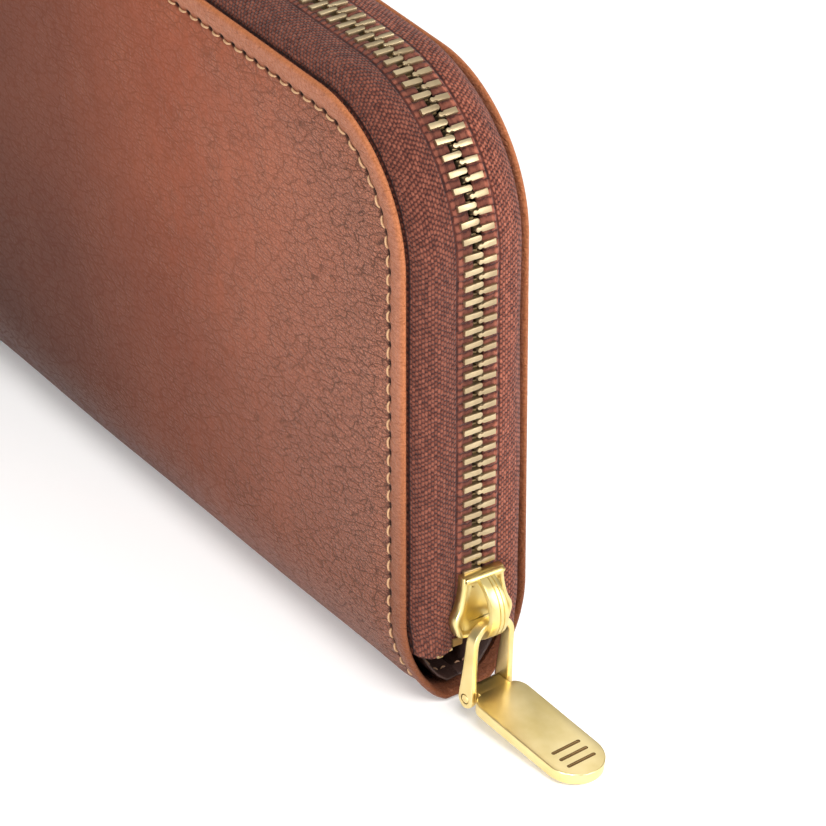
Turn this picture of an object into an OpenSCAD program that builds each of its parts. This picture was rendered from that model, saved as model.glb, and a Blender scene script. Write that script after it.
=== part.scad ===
// Zip-around long wallet, standing closed on its spine.
// Origin: centre of the flat under the spine. +X: towards the end where the zip closes.
// +Y: from the front cover to the back cover. +Z: up.

/* [Wallet] */
// Length of the covers
wallet_l = 196; // [170:1:220]
// Height of the covers above the table
wallet_h = 102; // [92:1:115]
// Thickness over both covers
wallet_t = 24; // [24:0.5:30]
// Radius of the two upper corners of the covers
corner_r = 23; // [18:1:30]
// Width of the flat under the spine
flat_w = 7; // [4:0.5:8]
// Outer radius of the spine bend
spine_r = 8; // [7:0.5:9]
// Outer radius where a cover bends towards the spine
bend_r = 24; // [22:1:30]

/* [Leather] */
// Thickness of one layer of cover leather
skin_t = 1.2; // [1:0.1:1.5]
// Width of the turned edge, from the rim to the stiffener
turn_w = 10; // [8:0.5:12]
// Thickness of a lining or card pocket layer
layer_t = 0.4; // [0.3:0.05:0.45]
// Distance from the rim to the stitch line
stitch_in = 3.8; // [3:0.1:5]
// Distance from one stitch to the next
stitch_pitch = 3.2; // [2.6:0.1:4]

/* [Zip] */
// Distance from one tooth to the next in a row
tooth_pitch = 2.54; // [2.4:0.01:2.8]
// Length of a tooth along the chain
tooth_w = 1; // [0.9:0.05:1.2]
// Half the width of the closed chain
chain_half = 2.9; // [2.7:0.05:3]
// Reach of a tooth past the middle of the chain
tooth_reach = 0.45; // [0.3:0.05:0.6]
// Height of the teeth tops above the rim of the covers
chain_out = 4.1; // [3.5:0.1:5]
// Thickness of the zip tape
tape_t = 0.6; // [0.5:0.05:0.7]
// Lower end of the tape at the slider's end
tape_low = 11.5; // [11:0.5:13]
// Length of the slider
slider_l = 11; // [10:0.5:12]
// Lower end of the slider when the wallet is closed
slider_z = 14.5; // [14:0.5:16]

/* [Pull] */
// Width of the crown that holds the link
crown_w = 2.9; // [2.5:0.1:3.2]
// Distance from the link's bar to the pin
link_l = 13.5; // [12:0.1:16]
// Thickness of a link leg
leg_t = 1.1; // [0.9:0.1:1.4]
// Width of the pull tab
tab_w = 10; // [8:0.5:12]
// Distance from the pin to the tip of the pull tab
tab_l = 25.5; // [20:0.5:32]
// Thickness of the pull tab
tab_t = 2; // [1.6:0.1:2.4]
// Turn of the link and tab about the upright axis
pull_yaw = 7; // [0:1:10]
// Lean of the hanging link towards the wallet
link_tilt = 6; // [2:1:8]

/* [Inside] */
// Step from one card pocket's mouth to the next
card_step = 11; // [8:1:13]
// Length of the coin pocket
coin_l = 164; // [140:1:168]
// Depth of the end gussets' fold at the top
gusset_top = 25; // [18:1:28]

/* [Hidden] */

$fn = 64;
tan_leather = "#99604a";
dark_leather = "#3a241d";
brick_tape = "#8a4b3c";
old_brass = "#a98a4b";
new_brass = "#dcc07a";
thread = "#b98c63";
card_board = "#b9a27f";

// Outline
half_l = wallet_l / 2;
half_t = wallet_t / 2;
edge_r = skin_t;
rim_t = 2 * skin_t;
corner_x = half_l - corner_r;
corner_z = wallet_h - corner_r;
// The cover bends with bend_r down to the spine, which bends with spine_r.
bend_y = bend_r - half_t;
bend_a = acos(bend_y / (bend_r - spine_r));
spine_z = sqrt(pow(spine_r, 2) - pow(flat_w / 2, 2));
bend_z = spine_z + (bend_r - spine_r) * sin(bend_a);
spine_a = 90 - bend_a;
joint_gap = 0.3;

// Layers, as distances from the middle plane
board_y = half_t - skin_t;
flange_y = half_t - rim_t;
lining_y = flange_y - 0.5;
slip_y = lining_y - layer_t;
card_y = slip_y - layer_t;
cards = 4;
pocket_half_l = half_l - 12;
pocket_low = 20;
pocket_high = wallet_h - 10;
pocket_corner = 14;
card_corner = 1;
lining_in = 1.5;

// Zip
tape_n = chain_out - 1.5 + tape_t / 2;
tape_arc = 3.9;
tape_edge = 1.1;
tape_spread = 1.65;
chain_in = chain_out - 2.4;
spread_high = 23.6;
spread_low = 18.5;
row_low = slider_z + 3.3;
left_low = 12.2;
side_run = corner_z - row_low;
corner_run = (corner_r + chain_out - 1.2) * PI / 2;
top_run = wallet_l - 2 * corner_r;
left_run = corner_z - left_low;
row_run = side_run + 2 * corner_run + top_run + left_run;
teeth = floor(row_run / tooth_pitch);
tooth_round = 0.4;
end_teeth = 3;
end_tooth = [1.7, 1.1, 1.2];
end_step = 1.7;
end_y = -4.4;
top_stop_size = [0.3, 1.8, 1.5];
bottom_stop_size = [2.2, 3.9, 2];
stitch_size = [0.6, 0.15, 2.3];
bend_stitches = 5;

// Slider: half widths at heights above its lower end
slider_shape = [[4.3, 0], [5.6, 2.2], [5.75, 5], [4.1, 8.2], [3.85, slider_l]];
plate_t = 1.2;
plate_n = chain_out + 0.15;
plate_out = plate_n + plate_t;
under_n = chain_in - 0.15;
slot_half = tape_t / 2 + 0.15;
wall_t = 0.55;
post_w = 1.6;
post_l = 2.4;
lip_r = 0.5;
lip_l = 7.2;
groove_w = 0.2;
groove_d = 0.15;
crown_r = 5.95;
crown_t = 1;
crown_n = plate_out - 1.7;
crown_z = slider_z + slider_l / 2 - 0.4;

// Link, pin and tab
bar_r = 0.75;
bar_n = plate_out + 1.8;
bar_z = slider_z + 3.3;
leg_in = 3.15;
leg_w = 1.9;
eye_r = 1.65;
pin_r = 0.8;
neck_half = leg_in - 0.15;
neck_l = 2;
tab_lift = 0.6;
pin_z = bar_z - link_l * cos(link_tilt);
tab_pitch = asin((pin_z + tab_lift - tab_t / 2) / tab_l);
shoulder_l = 1.6;
grip_w = 0.6;
grip_d = 0.3;
grip_l = 5;
grip_step = 1.8;

// Coin pocket
coin_half_t = 2.5;
coin_corner = 10;
coin_fold_t = 1;
coin_half = coin_l / 2;
coin_low = 2.8;
coin_high = 88;
wing_half = half_l - 8;
coin_chain = 89.6;
coin_tape_t = 0.4;
coin_pitch = 2;
coin_tape_in = 8;
coin_tape_end = 5;
coin_tooth_l = 0.85;
coin_run = coin_l - 24;
coin_teeth_n = floor(coin_run / coin_pitch) - 1;
coin_stop = [1.6, 0.5, 1.6];
coin_slider_x = coin_run / 2 - 3;
coin_slider_l = 7;
coin_slider_w = 3.8;
coin_plate_t = 0.7;
coin_under_l = 6;
coin_under_w = 2.4;
coin_post = [1.4, 0.44, 2.4];
coin_pivot = 2.6;
coin_pin_r = 0.4;
coin_neck_w = 1.3;
coin_neck_l = 7.5;
coin_pull_l = 8.5;
coin_pull_w = 3.8;
coin_pull_t = 0.75;
coin_hole_r = 0.7;

// End gussets
gusset_low = 20;
gusset_high = 80;
gusset_foot = 5;
gusset_t = 0.3;

// Upright sheet with two round upper corners: half width w, from z0 to z1, corners r, facing Y
module sheet(w, z0, z1, r, y0, t) {
    translate([0, y0 + t, 0]) rotate([90, 0, 0]) linear_extrude(t) {
        translate([-w, z0]) square([2 * w, z1 - r - z0]);
        translate([r - w, z0]) square([2 * (w - r), z1 - z0]);
        for (s = [-1, 1]) translate([s * (w - r), z1 - r]) circle(r);
    }
}

// Sweeps a profile (x = outwards from the rim, y = thickness) round the rim
module round_rim(low_right, low_left) {
    translate([half_l, 0, low_right]) linear_extrude(corner_z - low_right) children();
    rim_corner() children();
    translate([corner_x, 0, wallet_h]) rotate([0, -90, 0]) linear_extrude(2 * corner_x) children();
    mirror([1, 0, 0]) {
        rim_corner() children();
        translate([half_l, 0, low_left]) linear_extrude(corner_z - low_left) children();
    }
}

module rim_corner() {
    translate([corner_x, 0, corner_z]) rotate([90, 0, 0]) rotate_extrude(angle = 90)
        mirror([0, 1]) translate([corner_r, 0]) children();
}

// Turns a profile (x = distance from the axis, y = along the wallet) round a cover's lower bend
module lower_bend(a = bend_a) {
    translate([0, bend_y, bend_z]) rotate([0, 90, 0]) rotate([0, 0, -90])
        rotate_extrude(angle = a) children();
}

// Turns a profile in the same way round the spine, from one cover to the other
module spine_bend() {
    a = spine_a - joint_gap;
    translate([0, 0, spine_z]) rotate([0, 90, 0]) rotate([0, 0, -a])
        rotate_extrude(angle = 2 * a) children();
}

// Section of a turned leather edge: flat sheet with a round rim at both ends
module leather_section(r) {
    translate([r - rim_t, edge_r - half_l]) square([rim_t, wallet_l - 2 * edge_r]);
    for (s = [-1, 1]) translate([r - edge_r, s * (half_l - edge_r)]) circle(edge_r);
}

// Front and back are alike: each of these is drawn as the front and mirrored for the back
module other_side() {
    mirror([0, 1, 0]) children();
}

module cover() {
    core = corner_r - edge_r;
    difference() {
        sheet(half_l - edge_r, bend_z, wallet_h - edge_r, core, -half_t, rim_t);
        sheet(half_l - turn_w, bend_z - 1, wallet_h - turn_w, corner_r - turn_w, -board_y, skin_t + 1);
    }
    round_rim(bend_z, bend_z) translate([-edge_r, edge_r - half_t]) circle(edge_r);
    lower_bend() leather_section(bend_r);
}

module stiffener() {
    low = bend_z + 0.1;
    sheet(half_l - turn_w, low, wallet_h - turn_w, corner_r - turn_w, -board_y, board_y - lining_y);
}

module lining() {
    x = half_l - lining_in;
    low_r = bend_r - half_t + lining_y;
    sheet(x, bend_z, wallet_h - lining_in, corner_r - lining_in, -lining_y, layer_t);
    lower_bend() translate([low_r - layer_t, -x]) square([layer_t, 2 * x]);
}

module slip_pocket() {
    sheet(pocket_half_l, pocket_low, pocket_high, pocket_corner, -slip_y, layer_t);
}

module card_pocket(n) {
    top = pocket_high - 2 - card_step * n;
    sheet(pocket_half_l - 2, pocket_low, top, card_corner, -card_y + (n - 1) * layer_t, layer_t);
}

// The tape lies inside the cover, comes out over the rim and arches up to the chain
function tape_side(d) = concat(
    [[-turn_w + 0.5, -flange_y + 0.25 + d]],
    [for (i = [0 : 8]) let (a = 90 * i / 8)
        [tape_n - tape_arc + (tape_arc - d) * sin(a),
         -flange_y + 0.25 + tape_arc - (tape_arc - d) * cos(a)]],
    [[tape_n - d, -tape_edge]]);

function reversed(v) = [for (i = [len(v) - 1 : -1 : 0]) v[i]];

module tape_section() {
    polygon(concat(tape_side(-tape_t / 2 + 0.05), reversed(tape_side(tape_t / 2 - 0.05))));
}

module zip_tape() {
    difference() {
        round_rim(tape_low, tape_low) tape_section();
        // the ends stay clear of the covers' lower bends
        below_bend = bend_z - tape_low + 1;
        translate([-half_l - 1, -half_t, tape_low - 1])
            cube([wallet_l + 2, half_t - flange_y + 1.4, below_bend]);
        // near the slider the edge turns away from the middle
        translate([half_l, 0, 0]) rotate([90, 0, 90]) linear_extrude(2 * chain_out)
            polygon([[1, tape_low - 1], [1, spread_high], [-tape_edge, spread_high],
                [-tape_edge - tape_spread, spread_low], [-tape_edge - tape_spread, tape_low - 1]]);
    }
}

// One front tooth: a head past the tape's edge and two legs that hold the tape.
// Its place is the rim, with x outwards, y across the chain and z along the chain.
module tooth() {
    slot = tape_t / 2 + 0.05;
    translate([0, 0, -tooth_w / 2]) linear_extrude(tooth_w)
        polygon([[chain_in, -chain_half], [tape_n - slot, -chain_half], [tape_n - slot, -tape_edge + 0.1],
            [tape_n + slot, -tape_edge + 0.1], [tape_n + slot, -chain_half], [chain_out, -chain_half],
            [chain_out, tooth_reach - tooth_round], [chain_out - tooth_round, tooth_reach],
            [chain_in + tooth_round, tooth_reach], [chain_in, tooth_reach - tooth_round]]);
}

// Puts a child at a distance s along the rim, from the slider's end round to the other end
module along_chain(s) {
    s1 = s - side_run;
    s2 = s1 - corner_run;
    s3 = s2 - top_run;
    s4 = s3 - corner_run;
    turn = 90 / corner_run;
    if (s1 < 0) {
        translate([half_l, 0, corner_z + s1]) children();
    } else if (s2 < 0) {
        translate([corner_x, 0, corner_z]) rotate([0, -s1 * turn, 0]) translate([corner_r, 0, 0]) children();
    } else if (s3 < 0) {
        translate([corner_x - s2, 0, wallet_h]) rotate([0, -90, 0]) children();
    } else if (s4 < 0) {
        translate([-corner_x, 0, corner_z]) rotate([0, -90 - s3 * turn, 0])
            translate([corner_r, 0, 0]) children();
    } else {
        translate([-half_l, 0, corner_z - s4]) rotate([0, 180, 0]) children();
    }
}

function spread(z) = tape_spread * max(0, min(1, (spread_high - z) / (spread_high - spread_low)));

module teeth_row(offset) {
    for (i = [0 : teeth - 1]) {
        s = offset + i * tooth_pitch;
        along_chain(s) translate([0, -spread(row_low + s), 0]) tooth();
    }
    // below the slider the row turns outwards along the tape's end
    for (i = [0 : end_teeth - 1])
        translate([half_l + chain_in + 0.5 - 0.25 * i, end_y - end_step * i, tape_low - end_tooth[2] - 0.1])
            cube(end_tooth);
}

module top_stop() {
    y = chain_half + tape_spread + 0.2;
    translate([half_l + tape_n + tape_t / 2 + 0.05, -y, tape_low + 1]) cube(top_stop_size);
}

module bottom_stop() {
    translate([-half_l - chain_out, -0.9, tape_low - bottom_stop_size[2] - 0.1]) cube(bottom_stop_size);
}

// One stitch lies along the chain direction, sunk between two needle holes
module stitch() {
    translate([-stitch_size[0] / 2, -half_t - stitch_size[1], -stitch_size[2] / 2]) cube(stitch_size);
}

module stitching() {
    r = corner_r - stitch_in;
    x = half_l - stitch_in;
    side = corner_z - bend_z;
    bend_step = stitch_pitch / bend_r * 180 / PI;
    per_side = floor(side / stitch_pitch);
    per_corner = round(r * PI / 2 / stitch_pitch);
    per_top = floor(2 * corner_x / stitch_pitch);
    for (s = [-1, 1]) {
        for (i = [0 : per_side - 1]) translate([s * x, 0, corner_z - (i + 0.5) * side / per_side]) stitch();
        for (i = [0 : per_corner - 1]) translate([s * corner_x, 0, corner_z])
            rotate([0, -s * (i + 0.5) * 90 / per_corner, 0]) translate([s * r, 0, 0]) stitch();
        for (i = [1 : bend_stitches]) translate([s * x, bend_y, bend_z])
            rotate([(i - 0.5) * bend_step, 0, 0]) translate([0, half_t - bend_r, 0]) stitch();
    }
    for (i = [0 : per_top - 1])
        translate([-corner_x + (i + 0.5) * 2 * corner_x / per_top, 0, wallet_h - stitch_in])
            rotate([0, 90, 0]) stitch();
}

module spine_leather() {
    color(tan_leather) difference() {
        spine_bend() leather_section(spine_r);
        translate([-half_l, -spine_r, -2]) cube([wallet_l, 2 * spine_r, 2]);
    }
}

module spine_lining() {
    r = spine_r - rim_t;
    x = half_l - lining_in;
    color(dark_leather) spine_bend() translate([r - layer_t, -x]) square([layer_t, 2 * x]);
}

// The coin pocket stands on the spine, between the two sides
module coin_panel() {
    sheet(wing_half, coin_low, coin_high, coin_corner, -coin_half_t, layer_t);
}

module coin_pocket_gusset() {
    t = coin_fold_t;
    inner = coin_half_t - layer_t;
    color(dark_leather) translate([0, inner, 0]) rotate([90, 0, 0]) linear_extrude(2 * inner) difference() {
        translate([-coin_half, coin_low + 0.2]) square([coin_l, coin_high - coin_low - 12]);
        translate([t - coin_half, coin_low + 5]) square([coin_l - 2 * t, coin_high]);
    }
}

// Section of a coin zip tape: up inside the panel, then over to the chain
module coin_tape_section() {
    y = coin_half_t - layer_t;
    r = coin_chain - coin_high + coin_tape_t / 2;
    translate([coin_high - coin_tape_in - wallet_h, -y]) square([coin_tape_in, coin_tape_t]);
    translate([coin_high - wallet_h, r - y]) difference() {
        circle(r);
        circle(r - coin_tape_t);
        translate([-2 * r, -2 * r]) square([2 * r, 4 * r]);
        square([2 * r, 2 * r]);
    }
}

module coin_zip_tape() {
    l = coin_run + 2 * coin_tape_end;
    color(dark_leather) translate([l / 2, 0, wallet_h]) rotate([0, -90, 0])
        linear_extrude(l) coin_tape_section();
}

module coin_teeth(offset) {
    for (i = [0 : coin_teeth_n - 1]) translate([offset + i * coin_pitch - coin_run / 2, 0, coin_chain])
        rotate([0, -90, 0]) linear_extrude(coin_tooth_l)
            polygon([[-0.8, -0.22], [-0.8, 0.25], [0.8, 0.25], [0.8, -0.7], [0.3, -1.1], [0.3, -0.22]]);
}

module coin_zip_stops() {
    color(old_brass) for (s = [-1, 1]) translate([s * (coin_run / 2 + 2.2), 0, coin_chain])
        cube(coin_stop, center = true);
}

// A folded gusset leaf: shallow at the bottom, deep at the top
module gusset_leaf(y) {
    translate([0, y + gusset_t, 0]) rotate([90, 0, 0]) linear_extrude(gusset_t)
        polygon([[wing_half, gusset_low], [wing_half, gusset_high],
            [wing_half - gusset_top, gusset_high], [wing_half - gusset_foot, gusset_low]]);
}

module gusset() {
    near = -card_y + cards * layer_t + 0.15;
    far = -coin_half_t - 0.4;
    foot = wing_half - gusset_foot;
    top = wing_half - gusset_top;
    color(dark_leather) {
        gusset_leaf(near);
        gusset_leaf(far);
        translate([0, far + gusset_t, 0]) rotate([90, 0, 0]) linear_extrude(far - near + gusset_t)
            polygon([[foot, gusset_low], [top, gusset_high],
                [top - gusset_t, gusset_high], [foot - gusset_t, gusset_low]]);
    }
}

// Plan of the slider, narrowed by d on each side and lengthened by e at each end
module slider_plan(d, e) {
    right = [for (p = slider_shape) [p[0] - d, p[1]]];
    low = [right[0][0], -e];
    high = [right[len(right) - 1][0], slider_l + e];
    line = concat([low], right, [high]);
    polygon(concat(line, reversed([for (p = line) [-p[0], p[1]]])));
}

// Extrudes a plan (y, z) outwards from n0 to n1
module plate(n0, n1) {
    translate([half_l + n0, 0, slider_z]) rotate([90, 0, 90]) linear_extrude(n1 - n0) children();
}

module slider_body() {
    color(new_brass) {
        difference() {
            union() {
                plate(tape_n + slot_half, plate_out) slider_plan(0, 0);
                plate(under_n - plate_t + 0.3, tape_n - slot_half) slider_plan(0, 0);
            }
            plate(under_n, plate_n) slider_plan(wall_t, 1);
        }
        plate(under_n - 0.2, plate_n + 0.2) translate([-post_w / 2, 0.8]) square([post_w, post_l]);
        // rolled lip over the narrow end
        translate([half_l + plate_out, 0, slider_z + slider_l - lip_r]) rotate([90, 0, 0])
            cylinder(r = lip_r, h = lip_l, center = true);
    }
}

module slider_crown() {
    color(new_brass) difference() {
        translate([half_l + crown_n, 0, crown_z]) rotate([90, 0, 0]) difference() {
            cylinder(r = crown_r, h = crown_w, center = true);
            cylinder(r = crown_r - crown_t, h = crown_w + 1, center = true);
            for (s = [-1, 1]) translate([0, 0, s * crown_w / 5]) difference() {
                cylinder(r = crown_r + 1, h = groove_w, center = true);
                cylinder(r = crown_r - groove_d, h = 1, center = true);
            }
        }
        translate([half_l + plate_out - 20, -5, crown_z - 10]) cube([20, 10, 20]);
    }
}

// Place of the link: x away from the wallet, y along the bar, z up along the legs
module at_link() {
    translate([half_l + bar_n, 0, bar_z]) rotate([0, 0, pull_yaw]) rotate([0, link_tilt, 0]) children();
}

// Place of the tab: the pin's middle, x towards the tip
module at_tab() {
    at_link() translate([0, 0, -link_l]) rotate([0, tab_pitch - link_tilt, 0]) children();
}

module pull_link() {
    color(new_brass) at_link() difference() {
        union() {
            rotate([90, 0, 0]) cylinder(r = bar_r, h = 2 * (leg_in + leg_t), center = true);
            for (s = [-1, 1]) translate([0, s * (leg_in + leg_t / 2), 0]) {
                rotate([90, 0, 0]) cylinder(r = leg_w / 2, h = leg_t, center = true);
                translate([-leg_w / 2, -leg_t / 2, -link_l]) cube([leg_w, leg_t, link_l]);
                translate([0, 0, -link_l]) rotate([90, 0, 0]) cylinder(r = eye_r, h = leg_t, center = true);
            }
        }
        translate([0, 0, -link_l]) rotate([90, 0, 0]) cylinder(r = pin_r, h = 20, center = true);
    }
}

module pull_pin() {
    color(new_brass) at_link() translate([0, 0, -link_l]) rotate([90, 0, 0])
        cylinder(r = pin_r, h = 2 * (leg_in + leg_t) + 0.2, center = true);
}

module pull_tab() {
    r = tab_w / 2;
    low = tab_lift - tab_t / 2;
    color(new_brass) at_tab() difference() {
        union() {
            rotate([90, 0, 0]) cylinder(r = eye_r, h = 2 * neck_half, center = true);
            translate([0, -neck_half, low]) cube([neck_l, 2 * neck_half, tab_t]);
            translate([0, 0, low]) linear_extrude(tab_t) {
                polygon([[neck_l - 0.1, -neck_half], [neck_l + shoulder_l, -r], [tab_l - r, -r],
                    [tab_l - r, r], [neck_l + shoulder_l, r], [neck_l - 0.1, neck_half]]);
                translate([tab_l - r, 0]) circle(r);
            }
        }
        rotate([90, 0, 0]) cylinder(r = pin_r + 0.05, h = tab_w, center = true);
        // three plain grip lines across the tab
        for (i = [-1 : 1]) translate([tab_l - r + grip_step * i, -grip_l / 2, low + tab_t - grip_d])
            cube([grip_w, grip_l, 1]);
    }
}

module coin_slider() {
    color(old_brass) translate([coin_slider_x, 0, coin_chain]) {
        translate([-coin_slider_l / 2, -coin_slider_w / 2, 1])
            cube([coin_slider_l, coin_slider_w, coin_plate_t]);
        translate([-coin_under_l / 2, -coin_under_w / 2, -1.2 - coin_plate_t])
            cube([coin_under_l, coin_under_w, coin_plate_t]);
        // the post stands at the leading end, where the rows part
        translate([coin_under_l / 2 - coin_post[0], -coin_post[1] / 2, -1.3]) cube(coin_post);
        for (s = [-1, 1]) translate([0, s * 1.1, coin_pivot]) rotate([90, 0, 0]) difference() {
            union() {
                cylinder(r = 1, h = coin_plate_t, center = true);
                translate([-1, -1.1, -coin_plate_t / 2]) cube([2, 1.1, coin_plate_t]);
            }
            cylinder(r = coin_pin_r + 0.05, h = 2, center = true);
        }
    }
}

module coin_pull() {
    color(old_brass) translate([coin_slider_x, 0, coin_chain + coin_pivot]) {
        rotate([90, 0, 0]) cylinder(r = coin_pin_r, h = 2.9, center = true);
        difference() {
            union() {
                rotate([90, 0, 0]) cylinder(r = coin_pull_t, h = coin_neck_w, center = true);
                translate([-coin_neck_l, -coin_neck_w / 2, 0]) cube([coin_neck_l, coin_neck_w, coin_pull_t]);
                translate([-coin_pull_l, -coin_pull_w / 2, 0])
                    cube([coin_pull_l - 4, coin_pull_w, coin_pull_t]);
            }
            translate([1.6 - coin_pull_l, 0, -1]) cylinder(r = coin_hole_r, h = 3);
        }
    }
}

module front_cover() { color(tan_leather) cover(); }
module front_stiffener() { color(card_board) stiffener(); }
module front_lining() { color(dark_leather) lining(); }
module front_slip_pocket() { color(dark_leather) slip_pocket(); }
module front_card_pocket(n) { color(dark_leather) card_pocket(n); }
module front_zip_tape() { color(brick_tape) zip_tape(); }
module front_zip_teeth() { color(old_brass) teeth_row(0); }
module front_top_stop() { color(old_brass) top_stop(); }
module front_stitching() { color(thread) stitching(); }

module back_cover() { other_side() front_cover(); }
module back_stiffener() { other_side() front_stiffener(); }
module back_lining() { other_side() front_lining(); }
module back_slip_pocket() { other_side() front_slip_pocket(); }
module back_card_pocket(n) { other_side() front_card_pocket(n); }
module back_zip_tape() { other_side() front_zip_tape(); }
module back_zip_teeth() { color(old_brass) other_side() teeth_row(tooth_pitch / 2); }
module back_top_stop() { other_side() front_top_stop(); }
module zip_bottom_stop() { color(old_brass) bottom_stop(); }
module back_stitching() { other_side() front_stitching(); }

module coin_pocket_front() { color(dark_leather) coin_panel(); }
module coin_pocket_back() { other_side() coin_pocket_front(); }
module coin_zip_tape_front() { coin_zip_tape(); }
module coin_zip_tape_back() { other_side() coin_zip_tape(); }
module coin_zip_teeth_front() { color(old_brass) coin_teeth(0); }
module coin_zip_teeth_back() { color(old_brass) other_side() coin_teeth(coin_pitch / 2); }

module front_right_gusset() { gusset(); }
module front_left_gusset() { mirror([1, 0, 0]) gusset(); }
module back_right_gusset() { other_side() gusset(); }
module back_left_gusset() { other_side() front_left_gusset(); }

front_cover();
front_stiffener();
front_lining();
front_slip_pocket();
front_card_pocket(1);  // front_card_pocket_1
front_card_pocket(2);  // front_card_pocket_2
front_card_pocket(3);  // front_card_pocket_3
front_card_pocket(4);  // front_card_pocket_4
front_zip_tape();
front_zip_teeth();
front_top_stop();
front_stitching();
back_cover();
back_stiffener();
back_lining();
back_slip_pocket();
back_card_pocket(1);  // back_card_pocket_1
back_card_pocket(2);  // back_card_pocket_2
back_card_pocket(3);  // back_card_pocket_3
back_card_pocket(4);  // back_card_pocket_4
back_zip_tape();
back_zip_teeth();
back_top_stop();
zip_bottom_stop();
back_stitching();
spine_leather();
spine_lining();
coin_pocket_front();
coin_pocket_back();
coin_pocket_gusset();
coin_zip_tape_front();
coin_zip_tape_back();
coin_zip_teeth_front();
coin_zip_teeth_back();
coin_zip_stops();
front_left_gusset();
front_right_gusset();
back_left_gusset();
back_right_gusset();
slider_body();
slider_crown();
pull_link();
pull_pin();
pull_tab();
coin_slider();
coin_pull();
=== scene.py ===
"""Zip-around long wallet in cognac leather: its soft and fine pieces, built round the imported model."""
import math

import bmesh
import bpy
import numpy as np
from mathutils import Matrix, Vector


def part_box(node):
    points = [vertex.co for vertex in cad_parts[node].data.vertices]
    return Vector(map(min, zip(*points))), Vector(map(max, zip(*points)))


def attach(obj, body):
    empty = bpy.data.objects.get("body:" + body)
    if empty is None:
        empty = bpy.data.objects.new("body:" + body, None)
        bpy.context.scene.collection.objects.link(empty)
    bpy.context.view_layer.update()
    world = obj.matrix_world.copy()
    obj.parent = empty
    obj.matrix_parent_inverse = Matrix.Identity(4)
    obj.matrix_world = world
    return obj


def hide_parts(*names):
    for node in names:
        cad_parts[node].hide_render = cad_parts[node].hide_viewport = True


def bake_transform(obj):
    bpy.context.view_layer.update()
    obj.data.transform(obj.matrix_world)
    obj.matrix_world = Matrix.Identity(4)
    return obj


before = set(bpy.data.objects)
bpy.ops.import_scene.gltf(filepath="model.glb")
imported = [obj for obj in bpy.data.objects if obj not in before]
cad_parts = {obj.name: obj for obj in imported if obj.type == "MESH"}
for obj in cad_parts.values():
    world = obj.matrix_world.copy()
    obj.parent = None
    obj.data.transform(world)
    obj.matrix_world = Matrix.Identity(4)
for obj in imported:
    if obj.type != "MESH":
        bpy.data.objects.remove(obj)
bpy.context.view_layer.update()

MM = 0.001
SIDES = {"front": 1, "back": -1}        # the front is drawn at -Y, the back is mirrored


def box_mm(node):
    low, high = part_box(node)
    return np.array(low) / MM, np.array(high) / MM


# ---------------------------------------------------------------- sizes, in millimetres
COVER_LOW, COVER_HIGH = box_mm("front_cover")
HALF_L = COVER_HIGH[0]
HEIGHT = COVER_HIGH[2]
HALF_T = -COVER_LOW[1]
CORNER_R = 23.0                         # the covers' upper corners
FLAT_HALF = 3.5                         # flat under the spine
SPINE_R, BEND_R = 8.0, 24.0             # round the spine, then the slower bend up to the cover
BEND_Y = BEND_R - HALF_T
BEND_A = math.acos(BEND_Y / (BEND_R - SPINE_R))
SPINE_A = math.pi / 2 - BEND_A
SPINE_Z = math.sqrt(SPINE_R ** 2 - FLAT_HALF ** 2)
BEND_Z = SPINE_Z + (BEND_R - SPINE_R) * math.sin(BEND_A)
CORNER_X = HALF_L - CORNER_R
CORNER_Z = HEIGHT - CORNER_R
FLAT_A = math.asin(FLAT_HALF / SPINE_R)
S_SPINE = FLAT_HALF + SPINE_R * (SPINE_A - FLAT_A)
S_BEND = S_SPINE + BEND_R * BEND_A
S_TOP = S_BEND + HEIGHT - BEND_Z
LEATHER_T = 1.15
EDGE_R = 1.2                            # reach of the rolled rim
RIM_MID, RIM_HALF = -0.76, 0.61         # depth and half thickness of the rolled rim
TURN_W = 10.0                           # leather turned over inside
STITCH_IN, STITCH_PITCH = 4.15, 3.2
LINING_IN = 1.5                         # how far the lining stays inside the rim

TAPE_LOW = box_mm("front_zip_tape")[0][2]
TAPE_T = 0.5
TAPE_N = 2.9                            # the tape's flat, out from the cover's rim
TAPE_ARC, TAPE_Y, TAPE_EDGE = 4.7, 10.3, 1.1        # its bend, and its two edges from the middle
RIB_W = 1.6                             # ribbed edge of the tape by the cover
SEAM_Y = 3.85                           # the seam beside the teeth, from the middle of the chain
LADDER_W = TAPE_ARC * math.pi / 2 + TAPE_Y - TAPE_ARC - SEAM_Y
SPREAD = 1.65                           # how far the slider holds each row off the middle
SPREAD_HIGH, SPREAD_LOW = 23.6, 18.5
TOOTH_PITCH, TOOTH_W = 2.54, 1.0
CHAIN_HALF, CHAIN_IN, CHAIN_OUT = 2.9, 1.7, 3.9
CHAIN_R = CORNER_R + CHAIN_OUT - 1.2    # radius of the chain's line round a corner
ROW_LOW, LEFT_LOW = 17.8, 12.2          # first tooth on the right, last tooth on the left
COIN_PITCH, COIN_COUNT, COIN_START = 2.0, 68, -70.42

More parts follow.
